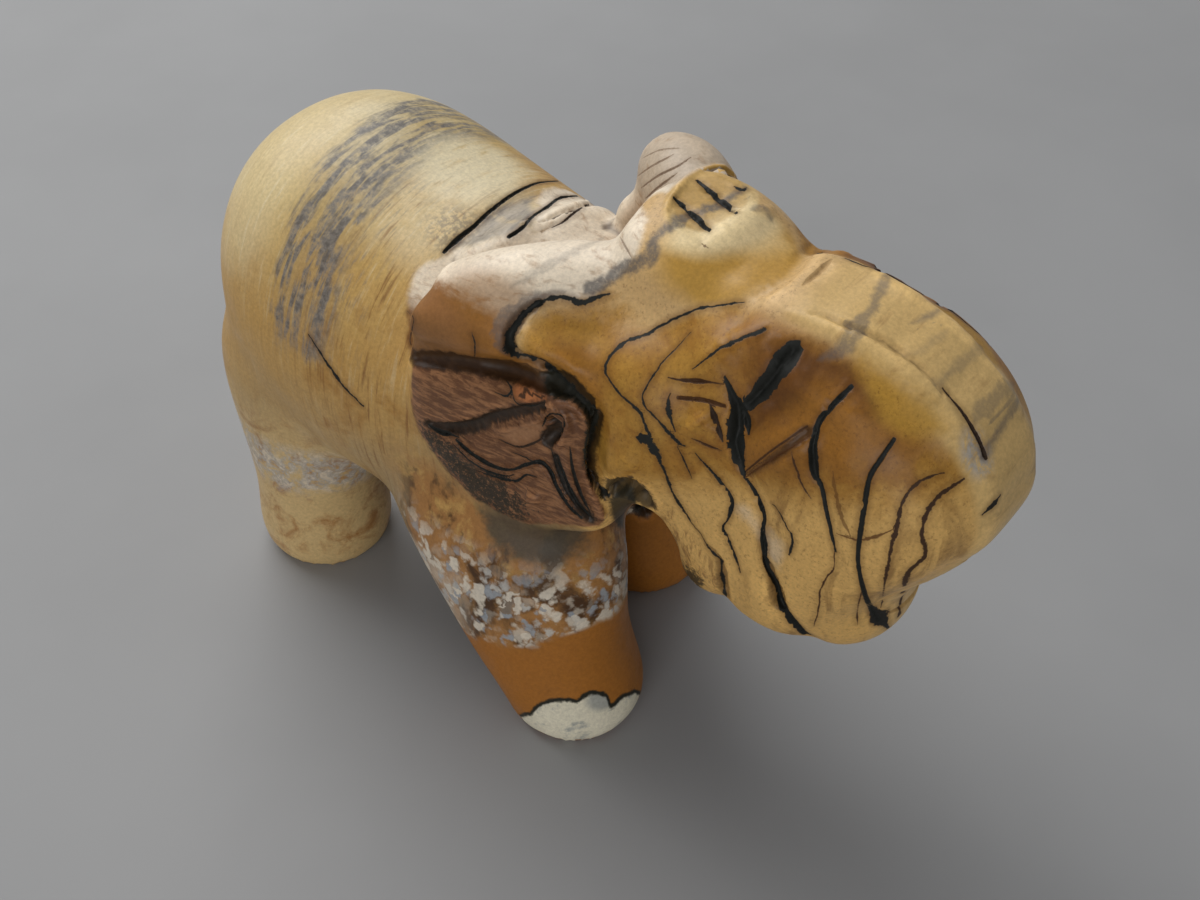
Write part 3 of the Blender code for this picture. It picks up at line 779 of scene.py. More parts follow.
def merged_copy():
    """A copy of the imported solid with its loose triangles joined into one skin."""
    bm = bmesh.new()
    bm.from_mesh(bpy.data.objects[SOLID_NAME].data)
    bmesh.ops.remove_doubles(bm, verts=bm.verts, dist=1e-6)
    mesh = bpy.data.meshes.new(PIECE_NAME)
    bm.to_mesh(mesh)
    bm.free()
    obj = bpy.data.objects.new(PIECE_NAME, mesh)
    bpy.context.scene.collection.objects.link(obj)
    return obj


def tumble(obj, grain, rounds):
    """Remeshes the skin evenly and smooths its facets away, keeping the soles level."""
    remesh = obj.modifiers.new("even skin", "REMESH")
    remesh.mode = "VOXEL"
    remesh.voxel_size = grain
    polish = obj.modifiers.new("polish", "SMOOTH")
    polish.factor = 0.5
    polish.iterations = rounds
    settle(obj)
    for vert in obj.data.vertices:
        if vert.co.z < 0.4 * grain:
            vert.co.z = 0.0


def to_triangles(bm):
    """Splits the faces into triangles, after dropping the points that only sit on an edge."""
    spare = [vert for vert in bm.verts if len(vert.link_edges) == 2]
    bmesh.ops.dissolve_verts(bm, verts=spare)
    bmesh.ops.triangulate(bm, faces=bm.faces)


def grind_flat(mesh, area, sink, blend):
    """Grinds a flat face inside an area of the skin, sunk below its middle, in mm."""
    where = vertex_places(mesh)
    inside = area_depth(area, where)
    near = np.flatnonzero(inside > -blend)
    seen = near[in_sight(skin_tree(mesh), where[near])]
    middle_ones = seen[inside[seen] > 0.3]
    normals = np.array([mesh.vertex_normals[i].vector[:] for i in middle_ones])
    axis = normals.mean(axis=0)
    axis /= np.linalg.norm(axis)
    height = (where[near] - where[middle_ones].mean(axis=0)) @ axis + sink * MM
    share = np.clip(inside[near] / blend, 0, 1) * (np.abs(height) < FACET_REACH * MM)
    where[near] -= (share * height)[:, None] * axis
    flat = near[share > 0.5]
    neighbour_means = averager(mesh)
    for _ in range(FACET_ROUNDS):
        where[flat] = 0.5 * (where[flat] + neighbour_means(where)[flat])
    mesh.vertices.foreach_set("co", where.ravel())


def refine(mesh, rows, reach, longest):
    """Halves the edges near the strokes that are longer than asked, and evens them out."""
    places = KDTree(len(rows))
    for i, row in enumerate(rows):
        places.insert(row[0], i)
    places.balance()
    bm = bmesh.new()
    bm.from_mesh(mesh)
    to_triangles(bm)
    near = {vert for vert in bm.verts if places.find(vert.co)[2] < reach * MM}
    edges = [
        edge
        for edge in bm.edges
        if edge.verts[0] in near and edge.verts[1] in near and edge.calc_length() > longest * MM
    ]
    made = bmesh.ops.subdivide_edges(bm, edges=edges, cuts=1, smooth=0.6, use_grid_fill=True)
    fresh = [part for part in made["geom_inner"] if isinstance(part, bmesh.types.BMVert)]
    for _ in range(2):
        bmesh.ops.smooth_vert(
            bm, verts=fresh, factor=0.4, use_axis_x=True, use_axis_y=True, use_axis_z=True
        )
    bmesh.ops.triangulate(bm, faces=bm.faces)
    bm.to_mesh(mesh)
    bm.free()


def vertex_places(mesh):
    flat = np.empty(len(mesh.vertices) * 3)
    mesh.vertices.foreach_get("co", flat)
    return flat.reshape(-1, 3)


def averager(mesh):
    """A function that gives the mean of each point's neighbours, for values held by the points."""
    edges = np.empty(len(mesh.edges) * 2, int)
    mesh.edges.foreach_get("vertices", edges)
    first, second = edges.reshape(-1, 2).T
    count = len(mesh.vertices)
    degree = np.maximum(np.bincount(first, minlength=count) + np.bincount(second, minlength=count), 1)

    def neighbour_means(values):
        total = []
        for axis in range(3):
            along = values[:, axis]
            total.append(np.bincount(first, along[second], count) + np.bincount(second, along[first], count))
        return np.stack(total, axis=1) / degree[:, None]

    return neighbour_means


def depth_inside(points, outline):
    """Signed distance of points from a closed outline in one plane, positive inside."""
    a = np.array(outline, float)
    b = np.roll(a, -1, axis=0)
    nearest = np.full(len(points), np.inf)
    inside = np.zeros(len(points), bool)
    for p, q in zip(a, b):
        along = q - p
        t = np.clip(((points - p) @ along) / (along @ along), 0, 1)
        nearest = np.minimum(nearest, np.linalg.norm(points - (p + t[:, None] * along), axis=1))
        crosses = (p[1] > points[:, 1]) != (q[1] > points[:, 1])
        rise = q[1] - p[1] if q[1] != p[1] else 1e-9
        inside ^= crosses & (points[:, 0] < p[0] + (points[:, 1] - p[1]) * (q[0] - p[0]) / rise)
    return np.where(inside, nearest, -nearest)


def area_depth(area, places):
    """How far places given in metres lie inside an area's outline, in mm, as the photograph sees them."""
    pixels, depth = to_pixels(places)
    outline = smooth_route(area.outline + area.outline[:1], AREA_STEP)
    return depth_inside(pixels, outline[:-1]) * depth / FOCAL_PIXELS


def keep_value(mesh, name, values):
    mesh.attributes.new(name, "FLOAT", "POINT").data.foreach_set("value", np.asarray(values, np.float32))


def mark_areas(mesh):
    """Stores how far each point lies inside each coloured area, in millimetres."""
    where = vertex_places(mesh)
    tree = skin_tree(mesh)
    for name, area in AREAS.items():
        seen = where.copy()
        if area.twin:
            left = where[:, 0] > 0
            shift = np.array(TWIN_SHIFT[area.twin]) * MM
            seen[left] = (where[left] - shift) * np.array([-1, 1, 1])
        inside = np.minimum(area_depth(area, seen), np.abs(where[:, 0]) / MM - area.least_side)
        if not area.twin:
            near = np.flatnonzero(inside > -OUTSIDE)
            hidden = near[~in_sight(tree, where[near])]
            inside[hidden] = -OUTSIDE
        keep_value(mesh, name, np.maximum(inside, -OUTSIDE))


def mark_hollows(mesh, name, rounds):
    """Stores how deep each point lies below the smoothed skin round it, in millimetres."""
    where = vertex_places(mesh)
    neighbour_means = averager(mesh)
    even = where.copy()
    for _ in range(rounds):
        even = 0.4 * even + 0.6 * neighbour_means(even)
    normals = np.array([n.vector[:] for n in mesh.vertex_normals])
    keep_value(mesh, name, ((even - where) * normals).sum(axis=1) / MM)


class StoneBench(NodeBench):
    """Layers of colour in stone, on places in millimetres."""

    def __init__(self, tree):
        super().__init__(tree)
        place = self.node("ShaderNodeTexCoord").outputs["Object"]
        self.place = self.vector("SCALE", place, scale=1 / MM)
        parts = self.node("ShaderNodeSeparateXYZ", {0: self.place}).outputs
        self.right = self.math("MULTIPLY", parts[0], -1.0)
        self.side = self.math("ABSOLUTE", parts[0])
        self.forward = self.math("SUBTRACT", CHEST, parts[1])
        self.up = parts[2]
        self.normal = self.node("ShaderNodeNewGeometry").outputs["Normal"]

    def stretched(self, along_x, along_y, along_z):
        """Places scaled along each axis, for grain that runs one way."""
        return self.vector("MULTIPLY", self.place, (along_x, along_y, along_z))

    def noise(self, scale, detail=4.0, roughness=0.55, distortion=0.0, vector=None, seed=0.0):
        """Noise from about 0 to 1. Scale counts its cells to a millimetre."""
        inputs = {
            "Vector": self.vector("ADD", vector or self.place, (seed * 17.1, seed * 5.3, seed * 9.7)),
            "Scale": scale,
            "Detail": detail,
            "Roughness": roughness,
            "Distortion": distortion,
        }
        return self.node("ShaderNodeTexNoise", inputs).outputs[0]

    def ramp(self, value, low, high, start=0.0, end=1.0):
        """A smooth step from start to end as the value runs from low to high."""
        inputs = {"Value": value, "From Min": low, "From Max": high, "To Min": start, "To Max": end}
        return self.node("ShaderNodeMapRange", inputs, interpolation_type="SMOOTHSTEP").outputs[0]

    def both(self, *masks):
        """The product of masks."""
        result = masks[0]
        for mask in masks[1:]:
            result = self.math("MULTIPLY", result, mask)
        return result

    def sum_of(self, *terms):
        """The sum of terms, each a value or a (value, weight) pair."""
        result = 0.0
        for term in terms:
            if isinstance(term, tuple):
                result = self.math("MULTIPLY_ADD", term[0], term[1], result)
            else:
                result = self.math("ADD", term, result)
        return result

    def over(self, under, colour, *masks):
        """Lays a colour over another one where all masks are 1."""
        inputs = {0: self.both(*masks), 6: under, 7: colour}
        return self.node("ShaderNodeMix", inputs, data_type="RGBA", clamp_factor=True).outputs[2]

    def shade(self, under, factor):
        """Multiplies a colour by a value."""
        return self.vector("SCALE", under, scale=factor)

    def kept(self, name):
        """A value that the skin keeps for each of its points."""
        return self.node("ShaderNodeAttribute", attribute_name=name).outputs["Fac"]

    def around(self, forward, right, up, radii):
        """Distance from a place, as 1 on an ellipsoid of the given radii."""
        middle = (-right, CHEST - forward, up)
        offset = self.vector("SUBTRACT", self.place, middle)
        offset = self.vector("DIVIDE", offset, (radii[1], radii[0], radii[2]))
        return self.vector("LENGTH", offset)


def paint_body(b, tints):
    """Honey-coloured flanks that pale towards the rump and brown towards the belly."""
    slow = b.noise(0.09, 3.0, seed=1)
    cloud = b.noise(0.22, 4.0, 0.6, 0.6, seed=31)
    height = b.sum_of(b.up, (b.forward, -0.25), (slow, 14.0), (cloud, 6.0), -10.0)
    colour = b.over(tints.flank_low, tints.flank, b.ramp(height, 12.0, 34.0))
    colour = b.over(colour, tints.rump, b.ramp(height, 34.0, 46.0))
    crown = b.both(b.ramp(b.forward, -13.0, -18.0), b.ramp(b.sum_of(b.up, (cloud, 6.0)), 33.0, 40.0))
    colour = b.over(colour, tints.cream, crown, 0.4)
    back = b.ramp(b.sum_of(b.up, (cloud, 5.0), (b.forward, 0.25)), 38.0, 41.0)
    colour = b.over(colour, tints.cream, back, 0.6)
    grain = b.noise(1.0, 6.0, 0.62, 0.25, b.stretched(0.2, 2.4, 0.2), seed=2)
    brown = b.both(b.ramp(grain, 0.52, 0.7), b.ramp(b.forward, -14.0, -6.0, 0.15, 0.75))
    colour = b.over(colour, tints.bark, brown)
    rust = b.both(b.ramp(cloud, 0.5, 0.7), b.ramp(b.forward, -13.0, -8.0), b.ramp(b.up, 40.0, 34.0))
    colour = b.over(colour, tints.amber, rust, 0.55)
    pale = b.both(b.ramp(grain, 0.46, 0.3), b.ramp(b.up, 24.0, 42.0, 0.1, 0.5))
    return b.over(colour, tints.cream, pale)


def paint_band(b, under, tints):
    """The smoky band that crosses the back and runs out down the flanks."""
    speckle = b.noise(1.5, 6.0, 0.72, seed=3)
    wander = b.noise(0.28, 3.0, 0.5, 0.4, seed=4)
    fine = b.noise(1.0, 5.0, 0.65, 0.0, b.stretched(0.4, 2.8, 0.4), seed=5)
    along = b.sum_of(b.forward, (b.right, -0.1), (b.up, 0.1), 11.1, (wander, 2.4), -1.2, (fine, 2.6), -1.3)
    low = b.ramp(b.sum_of(b.up, (wander, 8.0), (fine, 5.0)), 35.5, 39.5)
    body = b.both(b.ramp(along, -1.2, 0.2), b.ramp(along, 6.2, 4.0), low)
    fringe = b.both(b.ramp(along, 3.0, 4.4), b.ramp(along, 11.0, 5.0), b.ramp(fine, 0.5, 0.62), low)
    mask = b.math("MAXIMUM", body, b.both(fringe, 0.6))
    gaps = b.noise(1.0, 4.0, 0.6, 0.4, b.stretched(0.25, 1.5, 0.25), seed=34)
    mask = b.both(mask, b.ramp(speckle, 0.3, 0.52, 0.5, 1.0), b.ramp(gaps, 0.6, 0.44, 0.2, 0.92))
    smoke = b.over(tints.smoke, tints.smoke_dark, b.ramp(speckle, 0.42, 0.66))
    return b.over(under, smoke, mask)


def paint_nape(b, under, tints):
    """A painted highlight on the withers, and smoke between the creases of the nape."""
    streak = b.noise(1.0, 4.0, 0.6, 0.1, b.stretched(0.4, 1.6, 0.5), seed=6)
    # Painted highlight on the withers, in cream broken by streaks.
    sheen = b.both(b.ramp(b.around(-7.5, -3.0, 39.0, (4.5, 5.5, 5.0)), 1.15, 0.5), b.ramp(streak, 0.2, 0.5))
    colour = b.over(under, tints.cream, sheen, 0.85)
    speckle = b.noise(2.4, 5.0, 0.7, seed=7)
    speck = b.ramp(b.around(-3.5, 3.1, 38.7, (3.2, 3.0, 2.6)), 1.1, 0.3)
    speck = b.both(speck, b.ramp(speckle, 0.42, 0.56))
    colour = b.over(colour, tints.smoke_dark, speck, 0.5)
    nape = b.ramp(b.sum_of(b.kept("nape"), (streak, 1.6), -0.8), -0.3, 0.5)
    grey = b.over(tints.nape, tints.smoke, b.ramp(streak, 0.46, 0.68))
    return b.over(colour, grey, nape, 0.85)


def round_the_tip(b):
    """Distance from the middle of the trunk's tip, as 1 at its rim."""
    return b.around(17.6, 0.0, 44.5, (6.5, 5.4, 3.2))


def paint_head(b, under, tints):
    """Ochre cheeks, a honey crown and jaw, an amber trunk and a paler ringed strip on its front."""
    slow = b.noise(0.16, 3.0, 0.5, 0.6, seed=8)
    cloud = b.noise(0.26, 5.0, 0.65, 1.2, seed=9)
    drift = b.sum_of((cloud, 4.0), -2.0)
    behind = b.sum_of(b.forward, (b.up, -0.12), (slow, 3.0), -1.5)
    off_the_leg = b.ramp(b.sum_of(b.up, (b.forward, 0.9)), 38.3, 40.3)
    head = b.both(b.ramp(behind, 3.5, 6.0), off_the_leg)
    colour = b.over(tints.ochre, tints.amber, b.ramp(cloud, 0.42, 0.68), 0.65)
    face = b.ramp(b.sum_of(b.kept("face"), (drift, 0.3)), 0.8, -0.4)
    crown = b.ramp(b.sum_of(b.up, drift, (slow, 3.0), -1.5), 41.2, 43.2)
    colour = b.over(colour, tints.honey, crown, face)
    trunk = b.ramp(b.sum_of(b.forward, (b.up, 0.35), (cloud, 6.0)), 38.0, 44.0)
    above = b.ramp(b.sum_of(b.up, (b.forward, -0.5), 15.0, drift), 36.5, 40.0)
    flank = b.both(b.ramp(b.side, 3.0, 5.0), above)
    colour = b.over(colour, tints.amber, trunk, flank, 0.95)
    # Painted shade on the cheek where it meets the ear, in amber.
    behind_cheek_shade = b.ramp(b.around(14.2, 10.4, 39.6, (2.6, 2.2, 2.8)), 1.2, 0.5)
    colour = b.over(colour, tints.amber, behind_cheek_shade, 0.8)
    # Painted shadow under the trunk's rolled shoulder, in dark amber.
    painted_shadow = b.ramp(b.sum_of(b.kept("shoulder_shadow"), (drift, 0.5)), -0.8, 1.2)
    colour = b.over(colour, tints.amber_dark, painted_shadow, 0.85)
    # The low jaw, lip and trunk front are laid pale: their honey colour, and partly painted light.
    low = b.ramp(b.sum_of(b.up, (b.forward, -0.4), 12.0, drift), 38.5, 34.5)
    colour = b.over(colour, tints.jaw, low, 0.95)
    grain = b.noise(1.0, 6.0, 0.7, 0.5, b.stretched(1.6, 1.6, 0.4), seed=36)
    # Painted shade under the jaw, in bark brown broken by the grain.
    under_jaw = b.ramp(b.sum_of(b.kept("jaw_under"), (drift, 0.4)), -0.3, 0.5)
    colour = b.over(colour, tints.bark, under_jaw, b.ramp(grain, 0.46, 0.62), 0.75)
    ring_stain = b.noise(1.0, 5.0, 0.6, 0.7, b.stretched(0.5, 0.5, 0.16), seed=32)
    streaks = b.both(b.ramp(ring_stain, 0.5, 0.66), b.ramp(b.up, 42.0, 34.0), b.ramp(b.forward, 24.0, 30.0))
    colour = b.over(colour, tints.amber_dark, streaks, 0.5)
    strip = b.both(b.ramp(b.side, 4.1, 3.3), b.ramp(b.forward, 24.0, 27.0))
    colour = b.over(colour, tints.strip, strip, b.ramp(b.up, 26.0, 40.0, 0.5, 0.95))
    rings = b.noise(1.0, 4.0, 0.6, 0.5, b.stretched(0.2, 0.8, 0.8), seed=10)
    colour = b.over(colour, tints.bark, strip, b.ramp(rings, 0.54, 0.72), 0.4)
    gold = b.ramp(b.sum_of(b.kept("gold"), (drift, 0.4)), -0.2, 1.2)
    colour = b.over(colour, tints.gold, gold, 0.85)
    # A painted highlight on the trunk's low front, blue-white and broken by the grain.
    frost_and_highlight = b.both(b.ramp(b.around(38.6, 2.4, 41.7, (1.6, 1.4, 2.6)), 1.1, 0.4), b.ramp(grain, 0.36, 0.56))
    colour = b.over(colour, tints.crystal_blue, frost_and_highlight, 0.7)
    tip = b.ramp(round_the_tip(b), 1.0, 0.8)
    tip = b.math("MAXIMUM", tip, b.ramp(b.kept("tip_facet"), -0.8, -0.45))
    colour = b.over(colour, tints.gold, tip, 0.9)
    # The top of the tip is laid pale: its cream colour, and partly a painted highlight.
    top = b.ramp(b.sum_of(b.up, (b.right, -0.1), (drift, 0.05)), 45.5, 46.35)
    ahead = b.ramp(b.sum_of(b.forward, (b.right, 0.3), drift), 14.0, 17.0, 0.25, 1.0)
    colour = b.over(colour, tints.tip, tip, top, ahead)
    facet = b.ramp(b.sum_of(b.kept("tip_facet"), (drift, 0.1)), -0.05, 0.25)
    deep = b.both(facet, b.ramp(b.sum_of(b.forward, drift), 17.4, 15.0, 0.55, 0.95))
    colour = b.over(colour, tints.facet, deep)
    # Pale sheen on the lip: partly whitish chalcedony, partly a painted reflection.
    sheen = b.ramp(b.sum_of(b.kept("lip_sheen"), (drift, 0.4)), -0.3, 0.6)
    colour = b.over(colour, tints.crystal, sheen, 0.4)
    sand = b.noise(3.4, 4.0, 0.75, seed=33)
    plain = b.math("MAXIMUM", tip, strip)
    sandy = b.both(b.ramp(sand, 0.52, 0.7), b.ramp(plain, 0.6, 0.0, 0.0, 0.45))
    colour = b.over(colour, tints.amber_dark, sandy)
    return b.over(under, colour, head)


def paint_ears(b, under, tints):
    """Pinkish rolled tops with fine ridges, and brown fans with dark moss under them."""
    streak = b.noise(1.0, 6.0, 0.66, 0.3, b.stretched(0.9, 0.5, 2.6), seed=11)
    ragged = b.noise(0.9, 4.0, 0.6, seed=12)
    rough = b.sum_of((ragged, 0.8), -0.4)
    colour = b.over(tints.ear_pink, tints.ear_tan, b.ramp(streak, 0.5, 0.74))
    outer = b.sum_of(b.side, (b.up, -0.3), (ragged, 1.6), (streak, 1.6), 9.4)
    colour = b.over(colour, tints.ear_roll, b.ramp(outer, 8.6, 10.4))
    glow = b.ramp(b.around(7.0, 10.5, 42.0, (3.6, 2.4, 1.6)), 1.4, 0.5)
    colour = b.over(colour, tints.amber, glow, 0.6)
    front = b.both(b.ramp(b.forward, 4.0, 8.0), b.ramp(b.up, 42.5, 39.5))
    colour = b.over(colour, tints.amber, front, 0.8)
    rear = b.both(b.ramp(b.forward, 6.5, 4.0), b.ramp(b.up, 40.8, 39.0), b.ramp(b.side, 8.0, 10.0))
    colour = b.over(colour, tints.bark, rear, 0.85)
    off_the_tip = b.both(b.ramp(round_the_tip(b), 0.85, 1.0), b.ramp(b.kept("tip_facet"), -0.45, -0.8))
    roll = b.both(b.ramp(b.sum_of(b.kept("ear_roll"), rough), -0.3, 0.3), off_the_tip)
    # The far ear's rolled top: the tan laid over it is its colour; the darkening by a fifth is painted
    # shade.
    far_roll = b.both(b.ramp(b.right, -1.0, -3.0), b.ramp(b.up, 39.5, 42.0))
    colour = b.over(colour, tints.ear_tan, far_roll, 0.5)
    colour = b.shade(colour, b.sum_of(1.0, (far_roll, -0.2)))
    under = b.over(under, colour, roll)
    pleat = b.noise(1.0, 6.0, 0.7, 0.5, b.stretched(0.8, 0.6, 2.6), seed=13)
    colour = b.over(tints.ear_fan, tints.ear_brown, b.ramp(pleat, 0.42, 0.62))
    leaf = b.ramp(b.sum_of(b.kept("ear_leaf"), rough), -0.1, 0.4)
    colour = b.over(colour, tints.ear_leaf, leaf, b.ramp(pleat, 0.66, 0.46))
    patch = b.ramp(b.sum_of(b.kept("ear_patch"), rough), -0.1, 0.25)
    colour = b.over(colour, tints.rust, patch, 0.9)
    speckle = b.noise(1.7, 5.0, 0.8, seed=14)
    moss = b.ramp(b.sum_of(b.kept("ear_moss"), (speckle, 7.0), -3.5), -0.2, 0.4)
    fleck = b.ramp(b.noise(4.5, 3.0, 0.7, seed=37), 0.56, 0.66)
    growth = b.over(tints.moss, tints.ear_leaf, fleck, 0.7)
    colour = b.over(colour, growth, moss, 0.9)
    fan = b.ramp(b.sum_of(b.kept("ear_fan"), (ragged, 0.5), -0.25), -0.12, 0.12)
    return b.over(under, colour, fan)


def crystal_shards(b, scale, lean):
    """Small shards that stand upright and lean: distance from their middles, and a tone for each."""
    wobble = b.node("ShaderNodeTexNoise", {"Vector": b.place, "Scale": 0.8, "Detail": 4.0}).outputs["Color"]
    shard = b.vector("ADD", b.stretched(1.0, 1.0, 0.55), b.vector("SCALE", wobble, scale=2.2))
    shard = b.vector("ADD", shard, b.vector("SCALE", (lean, lean, 0.0), scale=b.up))
    cells = b.node("ShaderNodeTexVoronoi", {"Vector": shard, "Scale": scale, "Randomness": 1.0})
    tone = b.node("ShaderNodeSeparateXYZ", {0: cells.outputs["Color"]}).outputs[0]
    return cells.outputs["Distance"], tone


def paint_front_legs(b, under, tints):
    """A mottled upper leg, a belt of pale crystals, burnt orange below and a cream toe."""
    slow = b.noise(0.2, 4.0, 0.55, 0.6, seed=15)
    level = b.sum_of(b.up, (slow, 4.0), -2.0)
    lean_level = b.sum_of(level, (b.forward, -0.37), 4.8)
    leg = b.both(b.ramp(b.sum_of(b.forward, (slow, 5.0)), -1.5, 3.5), b.ramp(level, 27.0, 22.0))
    mottle = b.noise(0.36, 6.0, 0.66, 0.25, seed=16)
    blotch = b.noise(1.0, 5.0, 0.62, 0.3, b.stretched(0.34, 0.34, 0.2), seed=35)
    colour = b.over(tints.leg, tints.flank, b.ramp(mottle, 0.52, 0.36))
    colour = b.over(colour, tints.leg_dark, b.ramp(blotch, 0.5, 0.62), 0.85)
    # Painted shadow under the ear on the leg's top, mottled with dark olive.
    olive = b.ramp(b.sum_of(b.around(11.0, 11.0, 23.0, (5.0, 5.0, 3.4)), (mottle, 1.2), -0.6), 1.15, 0.75)
    colour = b.over(colour, tints.olive, olive, 0.9)
    middles, tone = crystal_shards(b, 1.0, 0.3)
    crystal = b.ramp(b.sum_of(middles, (mottle, 1.2)), 1.3, 0.95)
    crystal = b.both(crystal, b.ramp(tone, 0.15, 0.4, 0.25, 1.0))
    belt = b.both(b.ramp(level, 21.0, 17.0), b.ramp(lean_level, 11.6, 12.9))
    belt_colour = b.over(tints.crystal, tints.crystal_blue, b.ramp(tone, 0.55, 0.95))
    gap_colour = b.over(tints.leg, tints.leg_dark, b.ramp(blotch, 0.4, 0.58))
    colour = b.over(colour, gap_colour, belt, 0.8)
    colour = b.over(colour, belt_colour, belt, crystal, 0.92)
    edge = b.both(b.ramp(b.forward, 7.5, 3.0), b.ramp(level, 17.5, 15.0), b.ramp(level, 8.0, 10.0))
    frost_and_highlight = b.both(edge, b.ramp(mottle, 0.4, 0.56))
    colour = b.over(colour, tints.crystal, frost_and_highlight, 0.45)
    colour = b.over(colour, tints.orange, b.ramp(lean_level, 12.8, 11.8))
    colour = b.over(colour, tints.leg_dark, b.ramp(lean_level, 12.0, 7.0), b.ramp(mottle, 0.54, 0.76), 0.4)
    ragged = b.sum_of((b.noise(1.4, 4.0, 0.6, seed=18), 0.5), -0.25)
    toe = b.sum_of(b.kept("toe"), ragged)
    colour = b.over(colour, tints.moss, b.ramp(toe, -0.35, -0.15))
    toe_colour = b.over(tints.toe, tints.toe_grey, b.ramp(mottle, 0.52, 0.68))
    violet = b.ramp(b.around(16.4, 9.8, 5.4, (2.0, 2.0, 1.5)), 1.1, 0.6)
    toe_colour = b.over(toe_colour, tints.toe_grey, violet, 0.8)
    colour = b.over(colour, toe_colour, b.ramp(toe, -0.02, 0.18))
    return b.over(under, colour, leg)


def paint_hind_legs(b, under, tints):
    """Ochre hind feet under a patch of pale crystal."""
    mottle = b.noise(0.3, 6.0, 0.7, 0.8, seed=19)
    level = b.sum_of(b.up, (mottle, 6.0), -3.0)
    leg = b.both(b.ramp(b.forward, -6.0, -9.0), b.ramp(level, 24.0, 14.0))
    colour = b.over(tints.hind, tints.leg, b.ramp(mottle, 0.46, 0.7))
    patch = b.both(b.ramp(level, 9.6, 12.0), b.ramp(level, 17.5, 15.0), b.ramp(mottle, 0.35, 0.5))
    speckle = b.noise(0.9, 6.0, 0.72, 0.5, seed=20)
    crystals = b.over(tints.crystal_blue, tints.crystal, b.ramp(speckle, 0.46, 0.64))
    colour = b.over(colour, crystals, patch, b.ramp(speckle, 0.38, 0.52), 0.7)
    return b.over(under, colour, leg)


def line_mask(b, name, feather, ragged, fray, reach):
    """How much of a stroke's colour shows at each point, with a frayed edge.

    Half-way between two strokes the side changes its sign, so a point must also lie
    within reach of its stroke's edge.
    """
    frayed = b.ramp(ragged, 0.25, 0.75, 1 - fray, 1 + fray)
    width = b.math("MULTIPLY", b.kept(name + "_width"), frayed)
    inside = b.math("SUBTRACT", width, b.math("ABSOLUTE", b.kept(name + "_side")))
    return b.both(b.ramp(inside, -feather, feather), b.ramp(b.kept(name + "_gap"), reach, reach - 0.08))


def inked(b, under, mask, ink, brown, black):
    """Lays a line over a colour, from brown where its ink is thin to black where it is full."""
    line = b.over(brown, black, b.ramp(ink, 0.4, 0.85))
    return b.over(under, line, mask, b.ramp(ink, 0.0, 0.6, 0.0, 1.0))


def stained_and_shaded(b, under, name, reach, tints):
    """Browns the stone beside a line: beside a cut it is painted shade, beside a vein a brown fringe crept
    into the grain.
    """
    beside = b.ramp(b.kept(name + "_gap"), reach, 0.0)
    strength = b.ramp(b.kept(name + "_ink"), 0.1, 0.9, 0.0, 0.42)
    return b.over(under, tints.amber_dark, beside, strength)


def paint_lines(b, under, tints):
    """Smoky stripes, dark veins and cuts, brown beside them, folds inked with painted shade, and moss, also
    laid as painted shade in hollows.
    """
    ragged = b.noise(3.0, 5.0, 0.75, seed=21)
    slow = b.noise(0.7, 4.0, 0.65, seed=22)
    smoke = line_mask(b, "smoke", 0.25, slow, 0.7, 0.45)
    smoke = b.both(smoke, b.math("MINIMUM", b.kept("smoke_ink"), 1.0))
    grain = b.ramp(ragged, 0.3, 0.55, 0.6, 1.0)
    colour = b.over(under, tints.smoke_dark, smoke, grain, 0.8)
    # Brown beside the veins, and painted shade beside the cuts.
    colour = stained_and_shaded(b, colour, "vein", 0.5, tints)
    colour = stained_and_shaded(b, colour, "cut", 0.5, tints)
    # Folds are inked with painted shade, brown to black.
    folds = line_mask(b, "fold", 0.3, ragged, 0.3, 0.5)
    colour = inked(b, colour, b.both(folds, 0.85), b.kept("fold_ink"), tints.painted_shade, tints.vein)
    veins = line_mask(b, "vein", 0.035, ragged, 0.5, 0.17)
    colour = inked(b, colour, veins, b.kept("vein_ink"), tints.amber_dark, tints.vein)
    cuts = line_mask(b, "cut", 0.035, ragged, 0.15, 0.16)
    colour = inked(b, colour, cuts, b.kept("cut_ink"), tints.amber_dark, tints.vein)
    moss = b.ramp(b.sum_of(b.kept("chin_moss"), (ragged, 2.4), -1.2), -0.1, 0.3)
    # Painted shade, black, in the hollow between the ear's tip and the jaw.
    recess = b.ramp(b.sum_of(b.kept("jaw_recess_shade"), (ragged, 0.8), -0.4), 0.1, 0.6)
    # Along the seam between the ear and the cheek: partly painted shade, partly the stone's black mottling.
    pocket = b.ramp(b.sum_of(b.kept("ear_pocket"), (ragged, 1.0), -0.5), -0.12, 0.12)
    dark = b.math("MAXIMUM", b.math("MAXIMUM", moss, recess), pocket)
    colour = b.over(colour, tints.moss, dark, 0.92)
    return colour, b.math("MAXIMUM", veins, cuts)


def shade_hollows_lighten_ridges(b, under, tints):
    """Darkens fine hollows with painted shade, and lightens the crests of ridges."""
    # Painted shade darkens the fine hollows.
    colour = b.over(under, tints.painted_shade, b.ramp(b.kept("fine_hollow"), 0.07, 0.2, 0.0, 0.8))
    return b.shade(colour, b.ramp(b.kept("fine_hollow"), -0.03, -0.14, 1.0, 1.22))


